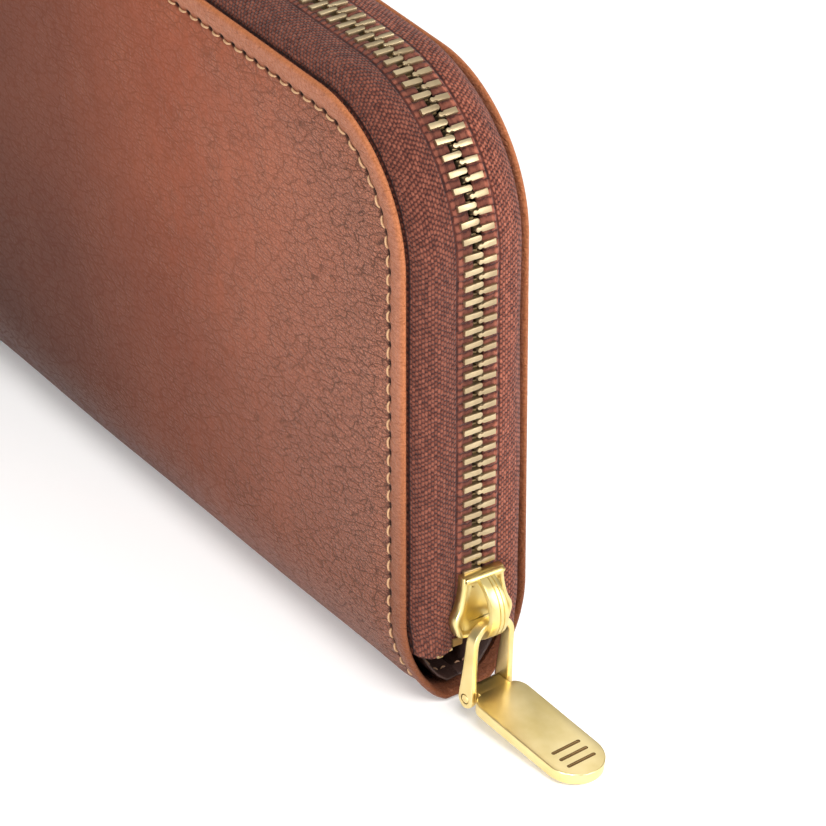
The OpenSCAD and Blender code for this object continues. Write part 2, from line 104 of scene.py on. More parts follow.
SLIDER_Z = box_mm("slider_body")[0][2]
SLIDER_L = 11.0
PLATE_OUT = 5.45
LINK_BAR = np.array([HALF_L + PLATE_OUT + 1.8, 0.0, SLIDER_Z + 3.3])
LINK_L = 13.5
PULL_YAW, LINK_TILT = math.radians(7), math.radians(6)
LEG_T, LEG_IN = 1.1, 3.15
LEG_MID = LEG_IN + LEG_T / 2
LEG_TOP = -3.4                          # where the legs bend in over the bar
EYE_R, PIN_R = 1.65, 0.8
WRAP_R = 1.45                           # the tab's strip round the pin
TAB_W, TAB_L, TAB_T = 10.0, 25.5, 2.0
TAB_LIFT = 0.6
TAB_TOP, TAB_UNDER = TAB_LIFT + TAB_T / 2, TAB_LIFT - TAB_T / 2
NECK_HALF, NECK_L = 3.0, 2.0
GRIP_HALF, GRIP_R, GRIP_STEP = 2.6, 0.32, 1.8

# powers of the lamps in watts, the strength of the pale walls and of the floor's own light, and the camera
KEY_W, RIGHT_W, TOP_W, SPOT_W = 4.2, 3.4, 2.4, 15.0
WORLD = 0.42
GLOW = 0.21
CAMERA_AT = (0.77843, -0.47023, 0.55479)
CAMERA_DOWN, CAMERA_TURN = 31.31, 55.915        # degrees
LENS, SENSOR = 276.35, 36.0
PAINTED_SHADE_BROWN = (0.050, 0.018, 0.012)            # darkest brown, painted onto the leather as shade towards the left and the bottom


# ---------------------------------------------------------------- mesh helpers
def smooth_step(x):
    x = np.clip(x, 0, 1)
    return x * x * (3 - 2 * x)


def bump_at(x, centre, width):
    return np.exp(-(((x - centre) / width) ** 2))


def make_object(name, verts, faces, attributes=None, merge=1e-4, close=False, sharp=None):
    """A shaded mesh object from points in millimetres; normals outward, doubles merged."""
    mesh = bpy.data.meshes.new(name)
    mesh.from_pydata(np.asarray(verts, float) * MM, [], faces)
    for key, values in (attributes or {}).items():
        layer = mesh.attributes.new(key, "FLOAT", "POINT")
        layer.data.foreach_set("value", np.asarray(values, np.float32))
    bm = bmesh.new()
    bm.from_mesh(mesh)
    if merge:
        bmesh.ops.remove_doubles(bm, verts=bm.verts, dist=merge * MM)
    if close:
        edges = [e for e in bm.edges if e.is_boundary]
        bmesh.ops.holes_fill(bm, edges=edges, sides=0)
    bmesh.ops.recalc_face_normals(bm, faces=bm.faces)
    bm.to_mesh(mesh)
    bm.free()
    mesh.shade_smooth()
    if sharp:
        mesh.set_sharp_from_angle(angle=math.radians(sharp))
    obj = bpy.data.objects.new(name, mesh)
    bpy.context.scene.collection.objects.link(obj)
    return obj


def grid_faces(rows, cols, offset=0, wrap=False):
    """Quads of a grid whose points run column by column within each row."""
    out = []
    last = cols if wrap else cols - 1
    for i in range(rows - 1):
        a = offset + i * cols
        for j in range(last):
            k = (j + 1) % cols
            out.append((a + j, a + k, a + cols + k, a + cols + j))
    return out


def capped_faces(rings, sides):
    """Faces of a tube of closed rings, with both ends shut."""
    faces = grid_faces(rings, sides, wrap=True)
    faces.append(tuple(range(sides))[::-1])
    faces.append(tuple(range((rings - 1) * sides, rings * sides)))
    return faces


def loft_rings(rings):
    """Points and faces through rings of equal length, with both ends shut."""
    return np.vstack(rings), capped_faces(len(rings), len(rings[0]))


def join_parts(parts):
    """Joins (points, faces) pairs into one."""
    verts, faces, start = [], [], 0
    for points, polygons in parts:
        verts.append(np.asarray(points, float))
        faces.extend([tuple(start + i for i in p) for p in polygons])
        start += len(points)
    return np.vstack(verts), faces


def inset(outline, distance):
    """The outline moved inwards by a distance; it runs anticlockwise."""
    p = np.asarray(outline, float)
    before, after = np.roll(p, 1, 0), np.roll(p, -1, 0)
    a, b = p - before, after - p
    a /= np.linalg.norm(a, axis=1)[:, None]
    b /= np.linalg.norm(b, axis=1)[:, None]
    normal = np.stack([-(a[:, 1] + b[:, 1]), a[:, 0] + b[:, 0]], 1)
    normal /= np.linalg.norm(normal, axis=1)[:, None]
    cos_half = np.clip(np.abs(normal[:, 0] * -b[:, 1] + normal[:, 1] * b[:, 0]), 0.4, 1)
    return p + normal * (distance / cos_half)[:, None]


def prism(outline, z0, z1, bevel=0.12, steps=2):
    """A flat plate with rounded edges: points (x, y, z) and faces."""
    turns = [math.pi / 2 * i / steps for i in range(steps + 1)]
    section = [(bevel * (1 - math.sin(a)), z0 + bevel * (1 - math.cos(a))) for a in turns]
    section += [(bevel * (1 - math.cos(a)), z1 - bevel * (1 - math.sin(a))) for a in turns]
    return loft_rings([np.column_stack([inset(outline, d), np.full(len(outline), z)]) for d, z in section])


def arc(cx, cy, r, a0, a1, n):
    angles = np.radians(np.linspace(a0, a1, n))
    return np.column_stack([cx + r * np.cos(angles), cy + r * np.sin(angles)])


def tube(centres, across, up, radius_across, radius_up, sides=8, square=1.0):
    """A closed tube along centres with elliptic (or squarer) sections in the frame (across, up)."""
    centres = np.asarray(centres, float)
    n = len(centres)
    phi = np.linspace(0, 2 * math.pi, sides, endpoint=False)
    c, s = np.cos(phi), np.sin(phi)
    c = np.sign(c) * np.abs(c) ** square
    s = np.sign(s) * np.abs(s) ** square
    ra = np.broadcast_to(radius_across, n)[:, None]
    ru = np.broadcast_to(radius_up, n)[:, None]
    sideways = (ra * c)[..., None] * across[:, None, :]
    points = centres[:, None, :] + sideways + (ru * s)[..., None] * up[:, None, :]
    return points.reshape(-1, 3), capped_faces(n, sides)


def triple(x):
    """The nearest whole number of steps that three divides."""
    return max(3, 3 * round(x / 3))


class RimPath:
    """Runs up the right side of an upright sheet, round its two upper corners and down the left side."""

    def __init__(self, half_w, low, high, r, step):
        x, z = half_w - r, high - r
        self.r = r
        self.n_side = triple((z - low) / step)
        self.n_corner = triple(r * math.pi / 2 / step)
        self.n_top = triple(2 * x / step)
        side = np.linspace(low, z, self.n_side + 1)
        across = np.linspace(x, -x, self.n_top + 1)
        turn = np.linspace(0, math.pi / 2, self.n_corner + 1)
        nc, ns, nt = self.n_corner, self.n_side, self.n_top
        self.cx = np.concatenate([np.full(ns + nc, x), across[:-1], np.full(nc + ns + 1, -x)])
        self.cz = np.concatenate([side[:-1], np.full(2 * nc + nt, z), side[::-1]])
        self.angle = np.concatenate([np.zeros(ns), turn[:-1], np.full(nt, math.pi / 2),
                                     math.pi / 2 + turn[:-1], np.full(ns + 1, math.pi)])
        self.grid_x, self.grid_z = across, side

    def at(self, d):
        """Plane points at a distance d in from the rim."""
        out = self.r - d
        return self.cx + np.cos(self.angle) * out, self.cz + np.sin(self.angle) * out

    def length(self, d):
        x, z = self.at(d)
        steps = np.hypot(np.diff(x), np.diff(z))
        return np.concatenate([[0], np.cumsum(steps)])

    def locate(self, u, d):
        """Corner centre and angle at lengths u measured along the line d in from the rim."""
        line = self.length(d)
        return (np.interp(u, line, self.cx), np.interp(u, line, self.cz), np.interp(u, line, self.angle))


def profile(s):
    """Point (y, z) and outward normal of the front's outer leather, a length s up from the middle."""
    s = np.asarray(s, float)
    flat, spine = s < FLAT_HALF, s < S_SPINE
    round_lean = np.where(spine, FLAT_A + (s - FLAT_HALF) / SPINE_R, SPINE_A + (s - S_SPINE) / BEND_R)
    lean = np.where(flat, FLAT_A * np.clip(s / FLAT_HALF, 0, 1) ** 2, round_lean)
    lean = np.minimum(lean, math.pi / 2)
    y = np.where(flat, -s, np.where(spine, -SPINE_R * np.sin(lean), BEND_Y - BEND_R * np.sin(lean)))
    z = np.where(spine, SPINE_Z - SPINE_R * np.cos(lean), BEND_Z - BEND_R * np.cos(lean))
    z = np.where(flat, 0.0, np.where(s > S_BEND, BEND_Z + s - S_BEND, z))
    return y, z, -np.sin(lean), -np.cos(lean)


def on_cover(x, s, h, side):
    """World point of a place on the cover: x along it, s up from the spine, h outwards."""
    y, z, ny, nz = profile(s)
    return np.column_stack([np.broadcast_to(x, np.shape(s)).ravel(), (side * (y + ny * h)).ravel(),
                            (z + nz * h).ravel()])


def sheet_object(name, path, rows, place, merge=1e-4):
    """A closed soft sheet from rows (d in from the rim, h outwards, fine), which run from the outer middle
    round the rim to the inner middle. place(x, z, d, h, u) puts points in the world, and a coarse row has
    every third point."""
    verts, attributes, index, start = [], {"rim_u": [], "rim_d": []}, [], 0
    u = path.length(STITCH_IN)

    def add(x, z, d, h, along):
        nonlocal start
        points = place(x, z, d, h, along)
        verts.append(points)
        attributes["rim_u"].append(along)
        attributes["rim_d"].append(np.full(len(points), d))
        start += len(points)
        return start - len(points)

    for d, h, fine in rows:
        x, z = path.at(d)
        pick = slice(None) if fine else slice(None, None, 3)
        first = add(x[pick], z[pick], d, np.full(len(x[pick]), h), u[pick])
        index.append((first, len(x[pick]), fine))
    faces = []
    for (a, na, fa), (b, nb, fb) in zip(index, index[1:]):
        if fa == fb:
            faces += [(a + i, a + i + 1, b + i + 1, b + i) for i in range(na - 1)]
        elif fb:
            faces += [(a + i, b + 3 * i, b + 3 * i + 1, b + 3 * i + 2, b + 3 * i + 3, a + i + 1)
                      for i in range(na - 1)]
        else:
            faces += [(b + i, a + 3 * i, a + 3 * i + 1, a + 3 * i + 2, a + 3 * i + 3, b + i + 1)
                      for i in range(nb - 1)]
    gx, gz = np.meshgrid(path.grid_x[::3], path.grid_z[::3])
    for d, h, fine in (rows[0], rows[-1]):
        first = add(gx.ravel(), gz.ravel(), d, np.full(gx.size, h), np.zeros(gx.size))
        faces += grid_faces(gx.shape[0], gx.shape[1], first)
    attributes = {k: np.concatenate(v) for k, v in attributes.items()}
    return make_object(name, np.vstack(verts), faces, attributes, merge, close=True)


def stand(obj, material, replaced=()):
    """Gives a piece its material slot and its material, and hides the CAD nodes it replaces."""
    obj.data.materials.clear()
    obj.data.materials.append(material)
    if replaced:
        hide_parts(*replaced)
    return obj


def bend_with(obj):
    """Bakes the piece's world transform into its mesh."""
    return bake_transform(obj)


# ---------------------------------------------------------------- materials
class Paint:
    """A small builder for one procedural material."""

    def __init__(self, name, roughness=0.5, metallic=0.0, specular=0.5):
        self.material = bpy.data.materials.new(name)
        self.material.use_nodes = True
        self.tree = self.material.node_tree
        self.tree.nodes.clear()
        self.out = self.tree.nodes.new("ShaderNodeOutputMaterial")
        self.shader = self.tree.nodes.new("ShaderNodeBsdfPrincipled")
        self.tree.links.new(self.shader.outputs[0], self.out.inputs[0])
        self.shader.inputs["Roughness"].default_value = roughness
        self.shader.inputs["Metallic"].default_value = metallic
        self.shader.inputs["Specular IOR Level"].default_value = specular

    def node(self, kind, inputs=None, **settings):
        n = self.tree.nodes.new("ShaderNode" + kind)
        for key, value in settings.items():
            setattr(n, key, value)
        for key, value in (inputs or {}).items():
            if isinstance(value, bpy.types.NodeSocket):
                self.tree.links.new(value, n.inputs[key])
            else:
                n.inputs[key].default_value = value
        return n

    def place(self):
        """Position on the piece at rest, in millimetres."""
        coordinates = self.node("TexCoord").outputs["Object"]
        scale = self.node("VectorMath", {0: coordinates, "Scale": 1000.0}, operation="SCALE")
        return scale.outputs[0]

    def stretch(self, vector, x, y, z):
        return self.node("VectorMath", {0: vector, 1: (x, y, z)}, operation="MULTIPLY").outputs[0]

    def value(self, name):
        return self.node("Attribute", attribute_name=name).outputs["Fac"]

    def math(self, operation, a, b=0.0, c=0.0):
        return self.node("Math", {0: a, 1: b, 2: c}, operation=operation).outputs[0]

    def mul(self, a, b):
        return self.math("MULTIPLY", a, b)

    def add(self, a, b):
        return self.math("ADD", a, b)

    def sub(self, a, b):
        return self.math("SUBTRACT", a, b)

    def mad(self, a, b, c):
        """a times b, plus c."""
        return self.math("MULTIPLY_ADD", a, b, c)

    def rounded(self, a):
        """A row of half waves, one to each whole step of a."""
        return self.math("SINE", self.mul(self.math("FRACT", a), math.pi))

    def away(self, a, centre):
        """Distance of a from the centre."""
        return self.math("ABSOLUTE", self.sub(a, centre))

    def noise(self, vector, scale, detail=2.0, roughness=0.5):
        inputs = {"Vector": vector, "Scale": scale, "Detail": detail, "Roughness": roughness}
        return self.node("TexNoise", inputs).outputs["Fac"]

    def cells(self, vector, scale):
        """Distance to the edges of random cells."""
        inputs = {"Vector": vector, "Scale": scale}
        return self.node("TexVoronoi", inputs, feature="DISTANCE_TO_EDGE").outputs["Distance"]

    def ramp(self, factor, stops):
        n = self.node("ValToRGB", {0: factor})
        elements = n.color_ramp.elements
        while len(elements) < len(stops):
            elements.new(0.5)
        for element, (position, colour) in zip(elements, stops):
            element.position = position
            element.color = (*colour, 1) if len(colour) == 3 else colour
        return n.outputs[0]

    def span(self, factor, low, high, to_low=0.0, to_high=1.0):
        n = self.node("MapRange", {0: factor, 1: low, 2: high, 3: to_low, 4: to_high}, clamp=True)
        return n.outputs[0]

    def mix(self, factor, a, b, blend="MIX"):
        n = self.node("Mix", data_type="RGBA", blend_type=blend)
        for socket, value in ((n.inputs["Factor"], factor), (n.inputs[6], a), (n.inputs[7], b)):
            if isinstance(value, bpy.types.NodeSocket):
                self.tree.links.new(value, socket)
            elif isinstance(value, tuple):
                socket.default_value = (*value, 1)
            else:
                socket.default_value = value
        return n.outputs[2]

    def bump(self, height, strength, distance, normal=None):
        inputs = {"Height": height, "Strength": strength, "Distance": distance * MM}
        if normal is not None:
            inputs["Normal"] = normal
        return self.node("Bump", inputs).outputs[0]

    def finish(self, colour, roughness=None, normal=None):
        links = self.tree.links
        if isinstance(colour, tuple):
            self.shader.inputs["Base Color"].default_value = (*colour, 1)
        else:
            links.new(colour, self.shader.inputs["Base Color"])
        if roughness is not None:
            links.new(roughness, self.shader.inputs["Roughness"])
        if normal is not None:
            links.new(normal, self.shader.inputs["Normal"])
        return self.material


def rolled_rim(p, body, fine, z):
    """The rim's paler roll and burnished edge laid over the body's colour, with painted shade towards the
    bottom, and the wrinkles across it.
    """
    rim_d, rim_u = p.value("rim_d"), p.value("rim_u")
    lines = p.node("CombineXYZ", {0: p.mul(rim_u, 2.2), 1: p.mul(rim_d, 0.5)})
    wrinkle = p.noise(lines.outputs[0], 1.0, 3.0, 0.6)
    grain = p.mad(fine, 0.5, p.mul(wrinkle, 0.5))
    roll = p.ramp(grain, [(0.36, (0.270, 0.094, 0.048)), (0.64, (0.430, 0.178, 0.104))])
    burnish = p.ramp(grain, [(0.38, (0.300, 0.098, 0.036)), (0.62, (0.440, 0.160, 0.068))])
    roll = p.mix(p.span(rim_d, 0.8, 0.2), roll, burnish)
    # painted shade: the roll darkens towards the bottom of the rim
    roll = p.mix(p.span(z, 60.0, 10.0, 0.0, 0.80), roll, (0.12, 0.038, 0.018))
    body = p.mix(p.span(rim_d, 4.05, 3.3, 0.0, 0.90), body, roll)
    return body, p.mul(wrinkle, p.span(rim_d, 3.9, 3.3))


def cover_leather():
    """Cognac leather: creased pebble grain, cracked and worn by the slider's end, with painted shade
    darkening it towards the other end and the bottom.
    """
    p = Paint("cover_leather", roughness=0.5, specular=0.10)
    at = p.place()
    parts = p.node("SeparateXYZ", {0: at})
    x, z = parts.outputs[0], parts.outputs[2]
    warp = p.node("TexNoise", {"Vector": at, "Scale": 0.25, "Detail": 3.0})
    warped = p.node("MixRGB", {0: 0.62, 1: at, 2: warp.outputs["Color"]}, blend_type="ADD").outputs[0]
    flat = p.stretch(warped, 0.85, 1.0, 1.2)
    pebble = p.span(p.cells(flat, 1.25), 0.0, 0.30)
    plates = p.cells(p.stretch(warped, 0.50, 1.0, 1.45), 0.55)
    crease = p.span(plates, 0.0, 0.12)
    fine = p.noise(at, 3.2, 3.0, 0.6)
    streak = p.noise(p.stretch(at, 1.4, 1.0, 0.35), 0.9, 4.0, 0.6)
    blotch = p.noise(at, 0.035, 4.0, 0.55)
    mottle = p.noise(p.stretch(at, 1.0, 1.0, 0.7), 0.22, 5.0, 0.65)
    # the worn part, cracked like old paint, by the slider's end
    worn = p.span(p.add(x, p.mul(mottle, 34.0)), 48.0, 108.0)
    tight = p.span(p.cells(p.stretch(warped, 0.75, 1.0, 1.25), 1.7), 0.0, 0.12)
    split = p.span(plates, 0.0, 0.05)
    grained = p.mul(p.span(x, -40.0, 82.0, 0.18, 1.0), p.span(mottle, 0.34, 0.62, 0.35, 1.0))
    grained = p.math("MAXIMUM", grained, worn)
    # relief
    height = p.mad(pebble, 0.6, p.mul(crease, 0.8))
    height = p.mad(fine, 0.35, height)
    height = p.mad(streak, 0.5, height)
    height = p.mad(p.mul(tight, worn), 0.5, height)
    strong = p.mul(height, grained)
    # colour, from the dye to the creases and the cracks, then painted shade towards the left and the bottom
    body = p.ramp(blotch, [(0.3, (0.245, 0.058, 0.025)), (0.5, (0.305, 0.076, 0.033)),
                           (0.7, (0.360, 0.098, 0.045))])
    body = p.mix(p.span(mottle, 0.48, 0.70, 0.0, 0.40), body, (0.42, 0.135, 0.070))
    body = p.mix(p.span(streak, 0.50, 0.30, 0.0, 0.25), body, (0.19, 0.045, 0.020))
    body = p.mix(p.span(fine, 0.45, 0.75, 0.0, 0.25), body, (0.44, 0.17, 0.10))
    body = p.mix(p.mul(worn, 0.75), body, (0.375, 0.164, 0.107))
    cracks = p.sub(1.0, p.mul(pebble, crease))
    softer = p.mul(grained, p.mad(worn, -0.25, 0.55))
    body = p.mix(p.mul(cracks, softer), body, (0.085, 0.024, 0.013))
    dark_net = p.sub(1.0, p.mul(tight, split))
    body = p.mix(p.mul(p.mul(dark_net, worn), 0.85), body, (0.035, 0.014, 0.009))
    speckle = p.span(p.noise(at, 5.0, 2.0, 0.6), 0.54, 0.40)
    body = p.mix(p.mul(p.mul(speckle, worn), 0.45), body, (0.060, 0.024, 0.015))
    # painted shade: darker towards the left end and the bottom, and more still left of the slider's end
    shade_slope = p.mad(x, 0.0094, p.mul(z, 0.0138))
    body = p.mix(p.span(shade_slope, 0.06, 1.6, 0.88, 0.0), body, PAINTED_SHADE_BROWN)
    body = p.mix(p.span(x, 62.0, 0.0, 0.0, 0.34), body, PAINTED_SHADE_BROWN)
    body, wrinkle = rolled_rim(p, body, fine, z)
    # painted shade in the stitch holes, near black
    body = p.mix(p.value("hole"), body, (0.008, 0.004, 0.003))
    rough = p.span(height, 0.6, 1.6, 0.62, 0.42)
    return p.finish(body, rough, p.bump(p.mad(wrinkle, 0.6, strong), 0.75, 0.14))


def dark_leather(name, light=1.0):
    """Dark brown lining leather with a light fine grain."""
    p = Paint(name, roughness=0.5, specular=0.35)
    at = p.place()
    grain = p.span(p.cells(at, 1.6), 0.0, 0.3)
    blotch = p.noise(at, 0.06, 3.0)
    low, high = [tuple(light * c for c in tone) for tone in ((0.030, 0.014, 0.011), (0.052, 0.025, 0.019))]
    colour = p.ramp(blotch, [(0.3, low), (0.7, high)])
    rough = p.span(grain, 0.0, 1.0, 0.65, 0.45)
    return p.finish(colour, rough, p.bump(grain, 0.35, 0.08))


def thread(name, colour):
    """Waxed two-ply thread."""
    p = Paint(name, roughness=0.55, specular=0.3)
    at = p.place()
    ply = p.noise(p.stretch(at, 2.0, 2.0, 5.0), 2.2, 2.0, 0.6)
    tone = p.ramp(ply, [(0.3, tuple(0.55 * c for c in colour)), (0.65, colour)])
    return p.finish(tone, None, p.bump(ply, 0.5, 0.08))


def tape_weave(name, dark, mid, light, ladder=LADDER_W):
    """Zip tape; tape_u runs along it and tape_w across it, in millimetres. A ribbed edge by the cover, fine
    twill that turns every seven columns, and a ladder of stitches beside the teeth. Painted shade darkens it
    under the teeth, where it goes in under the cover's rim, and over the whole front half."""
    p = Paint(name, roughness=0.78, specular=0.15)
    p.shader.inputs["Sheen Weight"].default_value = 0.08
    p.shader.inputs["Sheen Roughness"].default_value = 0.5
    u, w = p.value("tape_u"), p.value("tape_w")
    wobble = p.mul(p.sub(p.noise(p.place(), 0.45, 2.0), 0.5), 0.6)
    jitter = p.mul(p.sub(p.noise(p.place(), 1.7, 1.0), 0.5), 0.55)
    u = p.add(u, p.add(wobble, jitter))
    w = p.mad(jitter, 0.30, w)
    column = p.math("DIVIDE", p.sub(w, RIB_W), 0.46)
    number = p.math("FLOOR", column)
    turn = p.math("PINGPONG", p.add(number, 20.0), 7.0)
    phase = p.mad(u, 1.15, p.mul(turn, 0.36))
    yarn = p.rounded(phase)
    wall = p.rounded(column)
    twill = p.mul(p.math("POWER", yarn, 0.8), p.math("POWER", wall, 0.28))
    rib = p.math("POWER", p.rounded(p.mul(u, 0.91)), 1.1)
    rib = p.mul(rib, p.span(p.away(w, 0.95), 0.62, 0.25))
    rung = p.math("POWER", p.rounded(p.mul(u, 2 / TOOTH_PITCH)), 0.6)
    ribbed = p.span(w, RIB_W + 0.05, RIB_W - 0.05)
    beside = p.span(w, ladder - 0.03, ladder + 0.03)
    height = p.node("Mix", {0: ribbed, 2: twill, 3: rib}).outputs[0]
    height = p.node("Mix", {0: beside, 2: height, 3: rung}).outputs[0]
    seams = p.math("MAXIMUM", p.span(p.away(w, ladder), 0.28, 0.10), p.span(p.away(w, RIB_W), 0.22, 0.08))
    height = p.mul(height, p.mad(seams, -0.8, 1.0))
    seed = p.node("CombineXYZ", {0: p.math("FLOOR", phase), 1: number}).outputs[0]
    own = p.node("TexWhiteNoise", {"Vector": seed}, noise_dimensions="2D").outputs[0]
    fibre = p.noise(p.place(), 6.0, 2.0, 0.7)
    lift = p.mad(own, 0.30, p.mul(fibre, 0.35))
    tone = p.add(p.mul(height, 0.62), p.sub(lift, 0.18))
    colour = p.ramp(tone, [(0.08, dark), (0.42, mid), (0.88, light)])
    # painted shade under the teeth, past the ladder of stitches
    colour = p.mix(p.span(w, ladder + 0.75, ladder + 1.05, 0.0, 0.5), colour, dark)
    # painted shade where the tape goes in under the cover's rim
    colour = p.mix(p.span(w, 1.1, 0.1, 0.0, 0.9), colour, tuple(0.25 * c for c in dark))
    # painted shade: the front half's tape (at -y) is darkened towards its dark yarn, the back half's is not
    y = p.node("SeparateXYZ", {0: p.place()}).outputs[1]
    colour = p.mix(p.span(y, 1.5, -3.0, 0.0, 0.38), colour, dark)
    total = p.mad(fibre, 0.25, height)
    return p.finish(colour, None, p.bump(total, 1.0, 0.20))


def brass(name, bright, deep, roughness, wear=0.3):
    """Plated brass: satin, faintly clouded, darker where it has aged."""
    p = Paint(name, roughness=roughness, metallic=1.0)
    at = p.place()
    cloud = p.noise(at, 0.16, 3.0, 0.55)
    brush = p.noise(p.stretch(at, 0.5, 2.2, 2.2), 2.5, 3.0, 0.6)
    colour = p.mix(p.span(cloud, 0.35, 0.70, 0.0, wear), bright, deep)
    rough = p.add(p.span(cloud, 0.3, 0.7, roughness - 0.03, roughness + 0.05),
                   p.mul(brush, 0.08))
    return p.finish(colour, rough, p.bump(brush, 0.06, 0.03))


def card_board():
    """Grey-brown fibre board."""
    p = Paint("stiffener_board", roughness=0.85, specular=0.2)
    fibre = p.noise(p.place(), 1.5, 4.0, 0.65)
    return p.finish(p.ramp(fibre, [(0.3, (0.32, 0.24, 0.15)), (0.7, (0.45, 0.35, 0.23))]), None,
                    p.bump(fibre, 0.3, 0.1))


def woven_lining(name):
    """Fine dark twill of the gussets."""
    p = Paint(name, roughness=0.8, specular=0.2)
    at = p.place()
    parts = p.node("SeparateXYZ", {0: at})
    diagonal = p.add(parts.outputs[0], parts.outputs[2])
    rib = p.rounded(p.mul(diagonal, 2.0))
    colour = p.ramp(rib, [(0.1, (0.014, 0.007, 0.006)), (0.8, (0.050, 0.025, 0.020))])
    return p.finish(colour, None, p.bump(rib, 0.6, 0.1))


# ---------------------------------------------------------------- covers
def relief(x, s):
    """Slow rise and fall of the soft leather, in millimetres."""
    return (0.10 * np.sin(x / 17 + 0.6) * np.cos(s / 21 + 0.4) + 0.07 * np.sin(x / 9 + s / 13 + 1.1)
            + 0.05 * np.cos(x / 31 - s / 8))


def leather_height(d):
    """Height of the outer leather above the flat, by distance in from the rim."""
    pad = -0.50 + 0.50 * smooth_step((d - 4.05) / 4.5)
    channel = -0.10 * bump_at(d, STITCH_IN, 0.45)
    roll = 0.36 * (1 - smooth_step((d - 1.5) / 2.4))
    return pad + channel + roll


def cover_rows():
    """Rows of the cover's sheet for sheet_object; a row with no height follows leather_height."""
    rows = [(d, 0.0, False) for d in (CORNER_R, 18, 14, 11)] + [(9, None, False)]
    by_seam = [STITCH_IN + step for step in (0.32, 0.16, 0.0, -0.16, -0.32)]
    for d in (8, 7, 6.2, 5.6, 5.2, 4.9, 4.65, *by_seam, 3.65, 3.4, 3.1, 2.7, 2.4, 2.1, 1.8, 1.6, 1.4, 1.2):
        rows.append((d, None, True))
    for a in range(15, 181, 15):
        lean = math.radians(a)
        rows.append((EDGE_R - EDGE_R * math.sin(lean), RIM_MID + RIM_HALF * math.cos(lean), True))
    inside = RIM_MID - RIM_HALF
    rows += [(2.5, inside, True), (5, inside, False), (TURN_W, inside, False), (TURN_W, -LEATHER_T, False),
             (15, -LEATHER_T, False), (CORNER_R, -LEATHER_T, False)]
    return rows


def stitch_places(path):
    """Lengths along the stitch line of the stitches' middles, and the true pitch."""
    total = path.length(STITCH_IN)[-1]
    start = 5.0
    count = round((total - 2 * start) / STITCH_PITCH)
    pitch = (total - 2 * start) / count
    return start + (np.arange(count) + 0.5) * pitch, pitch


def cover(name, side, paint):
    path = RimPath(HALF_L, 0.0, S_TOP, CORNER_R, 0.4)
    middles, pitch = stitch_places(path)
    holes = np.append(middles - pitch / 2, middles[-1] + pitch / 2)

    def hole(u, d):
        k = np.clip(np.searchsorted(holes, u), 1, len(holes) - 1)
        gap = np.minimum(np.abs(u - holes[k]), np.abs(u - holes[k - 1]))
        return bump_at(gap, 0, 0.50) * bump_at(d, STITCH_IN - 0.20, 0.36)

    def place(x, s, d, h, u):
        outer = not np.any(h < -0.5)
        h = np.where(np.isnan(h), leather_height(d), h)
        if outer and d > EDGE_R:
            h = h + relief(x, s) * smooth_step((d - 2) / 14)
            if d < 6:
                h = h - 0.45 * hole(u, d)
        return on_cover(x, s, h, side)

    rows = [(d, np.nan if h is None else h, fine) for d, h, fine in cover_rows()]
    obj = sheet_object(name, path, rows, place)
    mesh = obj.data
    n = len(mesh.vertices)
    u, d, co = np.zeros(n), np.zeros(n), np.zeros(n * 3)
    mesh.attributes["rim_u"].data.foreach_get("value", u)
    mesh.attributes["rim_d"].data.foreach_get("value", d)
    mesh.vertices.foreach_get("co", co)
    outside = -side * co[1::3] / MM > HALF_T - 2.2
    low = co[2::3] / MM < BEND_Z
    # painted shade: a mask over the stitch holes on the outer side, which darkens the leather there
    dark = np.where((d < 6) & (d > 2.5) & (outside | low), hole(u, d), 0)
    layer = mesh.attributes.new("hole", "FLOAT", "POINT")
    layer.data.foreach_set("value", np.clip(2.4 * dark, 0, 1).astype(np.float32))
    stand(obj, paint, [f"{name.split('_')[0]}_cover"])
    return obj, path


def stitch(t, thickness, sides, at):
    """One stitch, drawn in at its ends; at(across, up) gives its line moved by a place in its section."""
    radius = thickness * np.sqrt(np.clip(1.04 - np.abs(t) ** 6, 0.04, 1))
    turns = np.linspace(0, 2 * math.pi, sides, endpoint=False)
    lines = [at(radius * math.cos(phi), radius * math.sin(phi)) for phi in turns]
    return np.stack(lines, 1).reshape(-1, 3), capped_faces(len(t), sides)


def thread_object(name, parts, paint, replaced=()):
    verts, faces = join_parts(parts)
    return stand(make_object(name, verts, faces, merge=0), paint, replaced)


def cover_thread(name, side, path, paint):
    """Every stitch of one cover, each a short bent thread that dips into the leather at both ends."""
    middles, pitch = stitch_places(path)
    t = np.linspace(-1, 1, 9)
    parts = []
    for k, middle in enumerate(middles):
        sway = 0.12 + 0.05 * math.sin(2.1 * k)
        cx, cs, angle = path.locate(middle + t * 0.35 * pitch, STITCH_IN)
        d = STITCH_IN + sway * (1 - t * t)
        h = -0.86 + 0.42 * (1 - np.abs(t) ** 3)

        def at(across, up):
            out = CORNER_R - d + across
            return on_cover(cx + np.cos(angle) * out, cs + np.sin(angle) * out, h + up, side)

        parts.append(stitch(t, 0.19, 8, at))
    return thread_object(name, parts, paint, [name])


def lining_thread(name, side, paint):
    """The same seam where it shows on the lining, round the foot of each end."""
    t = np.linspace(-1, 1, 7)
    h = -3.42 - 0.12 * (1 - t * t)
    parts = []
    for end in (-1, 1):
        for s in np.arange(2.0, 30.0, STITCH_PITCH):
            def at(across, up):
                return on_cover(end * (HALF_L - STITCH_IN) + across, s + t, h + up, side)

            parts.append(stitch(t, 0.17, 6, at))
    return thread_object(name, parts, paint)


